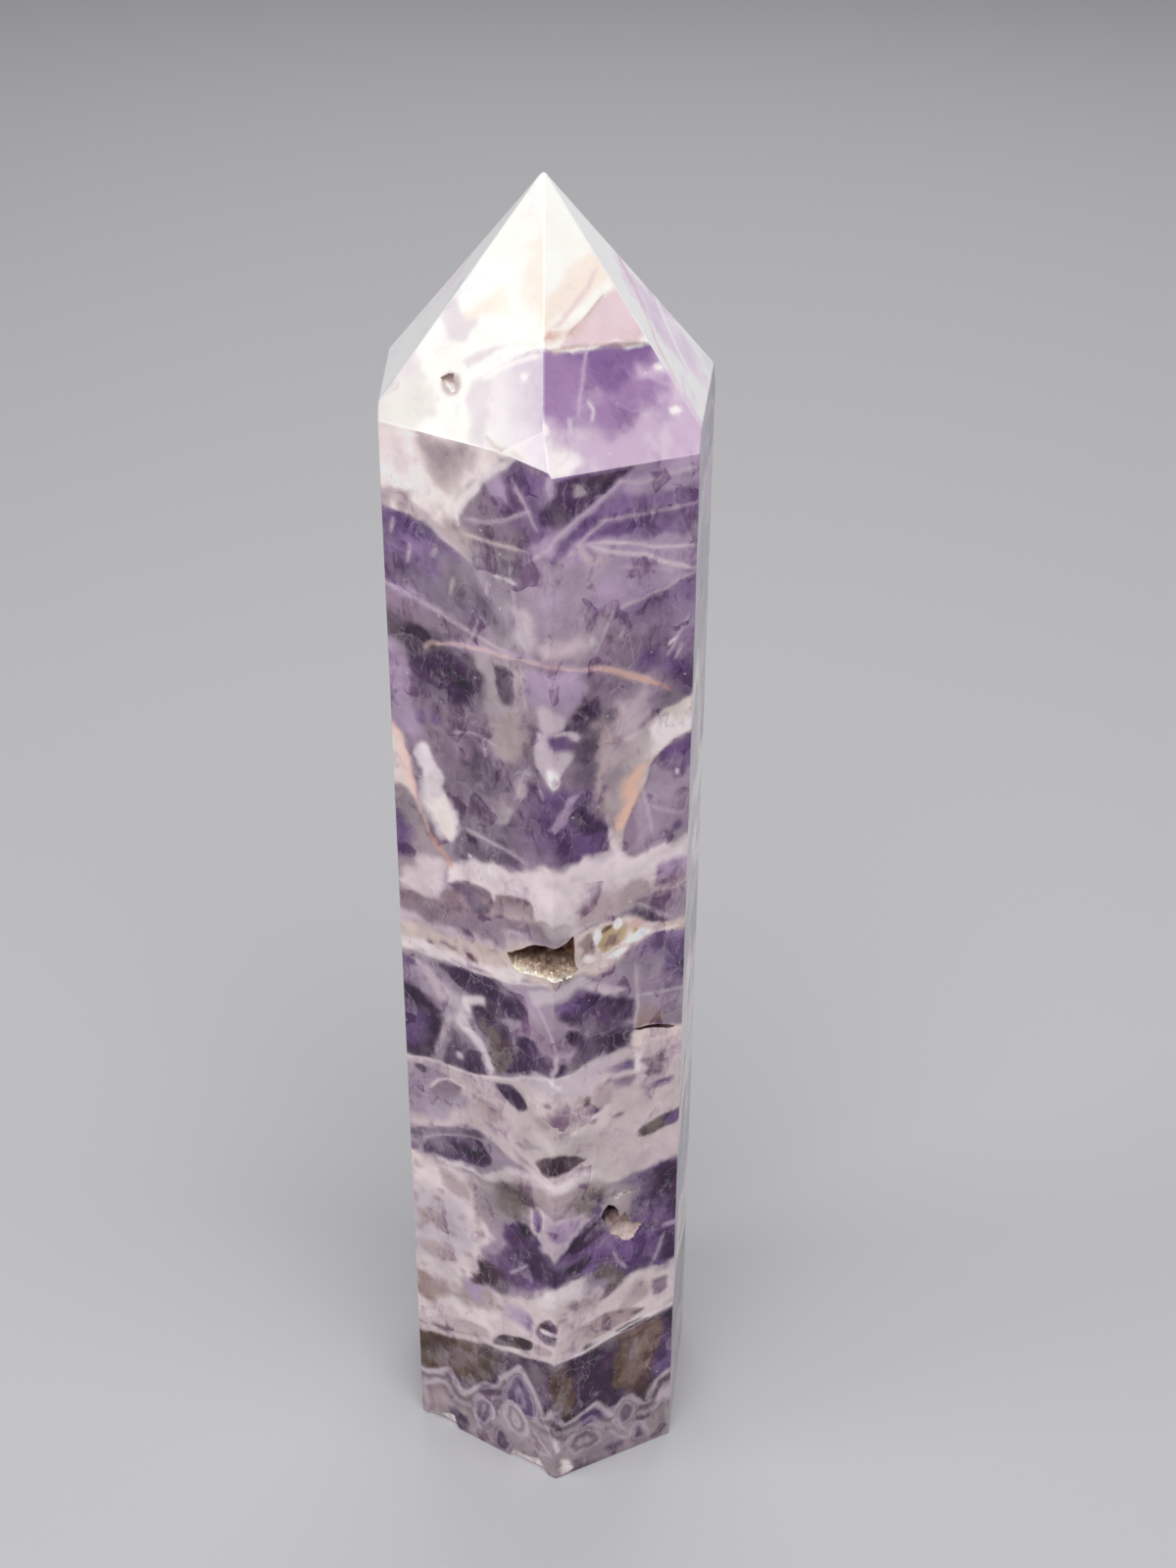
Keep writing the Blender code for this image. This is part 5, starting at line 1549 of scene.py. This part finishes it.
def make_stone():
    strip_ground_faces(stone_mesh)
    cut_edge_strips(stone_mesh)
    roughen_hollows(stone_mesh)
    for name, sheet in SHEETS.items():
        steps = FRONT_STEPS if name.startswith("front") else STEPS
        crisp = [mark.outline for mark in MARKS[name] if mark.soft <= CRISP]
        lay_ground_face(stone_mesh, name, steps[sheet.kind], crisp)
    data = bpy.data.meshes.new("amethyst_tower_stone")
    stone_mesh.to_mesh(data)
    colour_mesh(data)
    make_druse(data)
    data.transform(Matrix.Diagonal((1.0 / MM, 1.0 / MM, 1.0 / MM, 1.0)))
    stone = finish_object("amethyst_tower_stone", data, stone_material())
    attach(stone, "root")
    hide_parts("amethyst_tower")


# Camera and studio

def aim_camera():
    data = bpy.data.cameras.new("photo_camera")
    data.sensor_width = SENSOR
    data.lens = FOCAL_PX / PHOTO_HEIGHT_PX * SENSOR
    data.clip_start = 0.01
    camera = bpy.data.objects.new("photo_camera", data)
    bpy.context.collection.objects.link(camera)
    pitch, yaw, roll = (math.radians(angle) for angle in (PITCH, YAW, ROLL))
    ahead = Vector((math.sin(yaw) * math.cos(pitch), math.cos(yaw) * math.cos(pitch), -math.sin(pitch)))
    level = Vector((math.cos(yaw), -math.sin(yaw), 0.0))
    above = level.cross(ahead)
    right = level * math.cos(roll) + above * math.sin(roll)
    up = above * math.cos(roll) - level * math.sin(roll)
    matrix = [[right[k], up[k], -ahead[k], CAMERA_PLACE[k] / MM] for k in range(3)] + [[0.0, 0.0, 0.0, 1.0]]
    camera.matrix_world = Matrix(matrix)
    bpy.context.scene.camera = camera


def add_light(name, place, aim_height, width, depth, power):
    """A soft rectangular light, aimed at a height on the stone's axis."""
    data = bpy.data.lights.new(name, "AREA")
    data.shape = "RECTANGLE"
    data.size, data.size_y = width, depth
    data.energy = power
    lamp = bpy.data.objects.new(name, data)
    bpy.context.collection.objects.link(lamp)
    lamp.location = place
    lamp.rotation_euler = (Vector((0.0, 0.0, aim_height)) - Vector(place)).to_track_quat("-Z", "Y").to_euler()


def make_studio():
    floor_mesh = bpy.data.meshes.new("floor")
    corners = [(a * FLOOR_HALF, b * FLOOR_HALF, 0.0) for a, b in ((-1, -1), (1, -1), (1, 1), (-1, 1))]
    floor_mesh.from_pydata(corners, [], [(0, 1, 2, 3)])
    nodes = Nodes("floor")
    nodes.put(nodes.shader["Base Color"], FLOOR_COLOUR)
    nodes.put(nodes.shader["Roughness"], 0.6)
    floor = finish_object("floor", floor_mesh, nodes.material)
    world = bpy.data.worlds.new("studio")
    world.use_nodes = True
    background = world.node_tree.nodes["Background"].inputs
    background[0].default_value = SKY_COLOUR
    background[1].default_value = SKY_STRENGTH
    bpy.context.scene.world = world
    for light in LIGHTS:
        add_light(*light)
    bpy.context.scene.view_settings.view_transform = "Standard"


make_stone()
aim_camera()
make_studio()
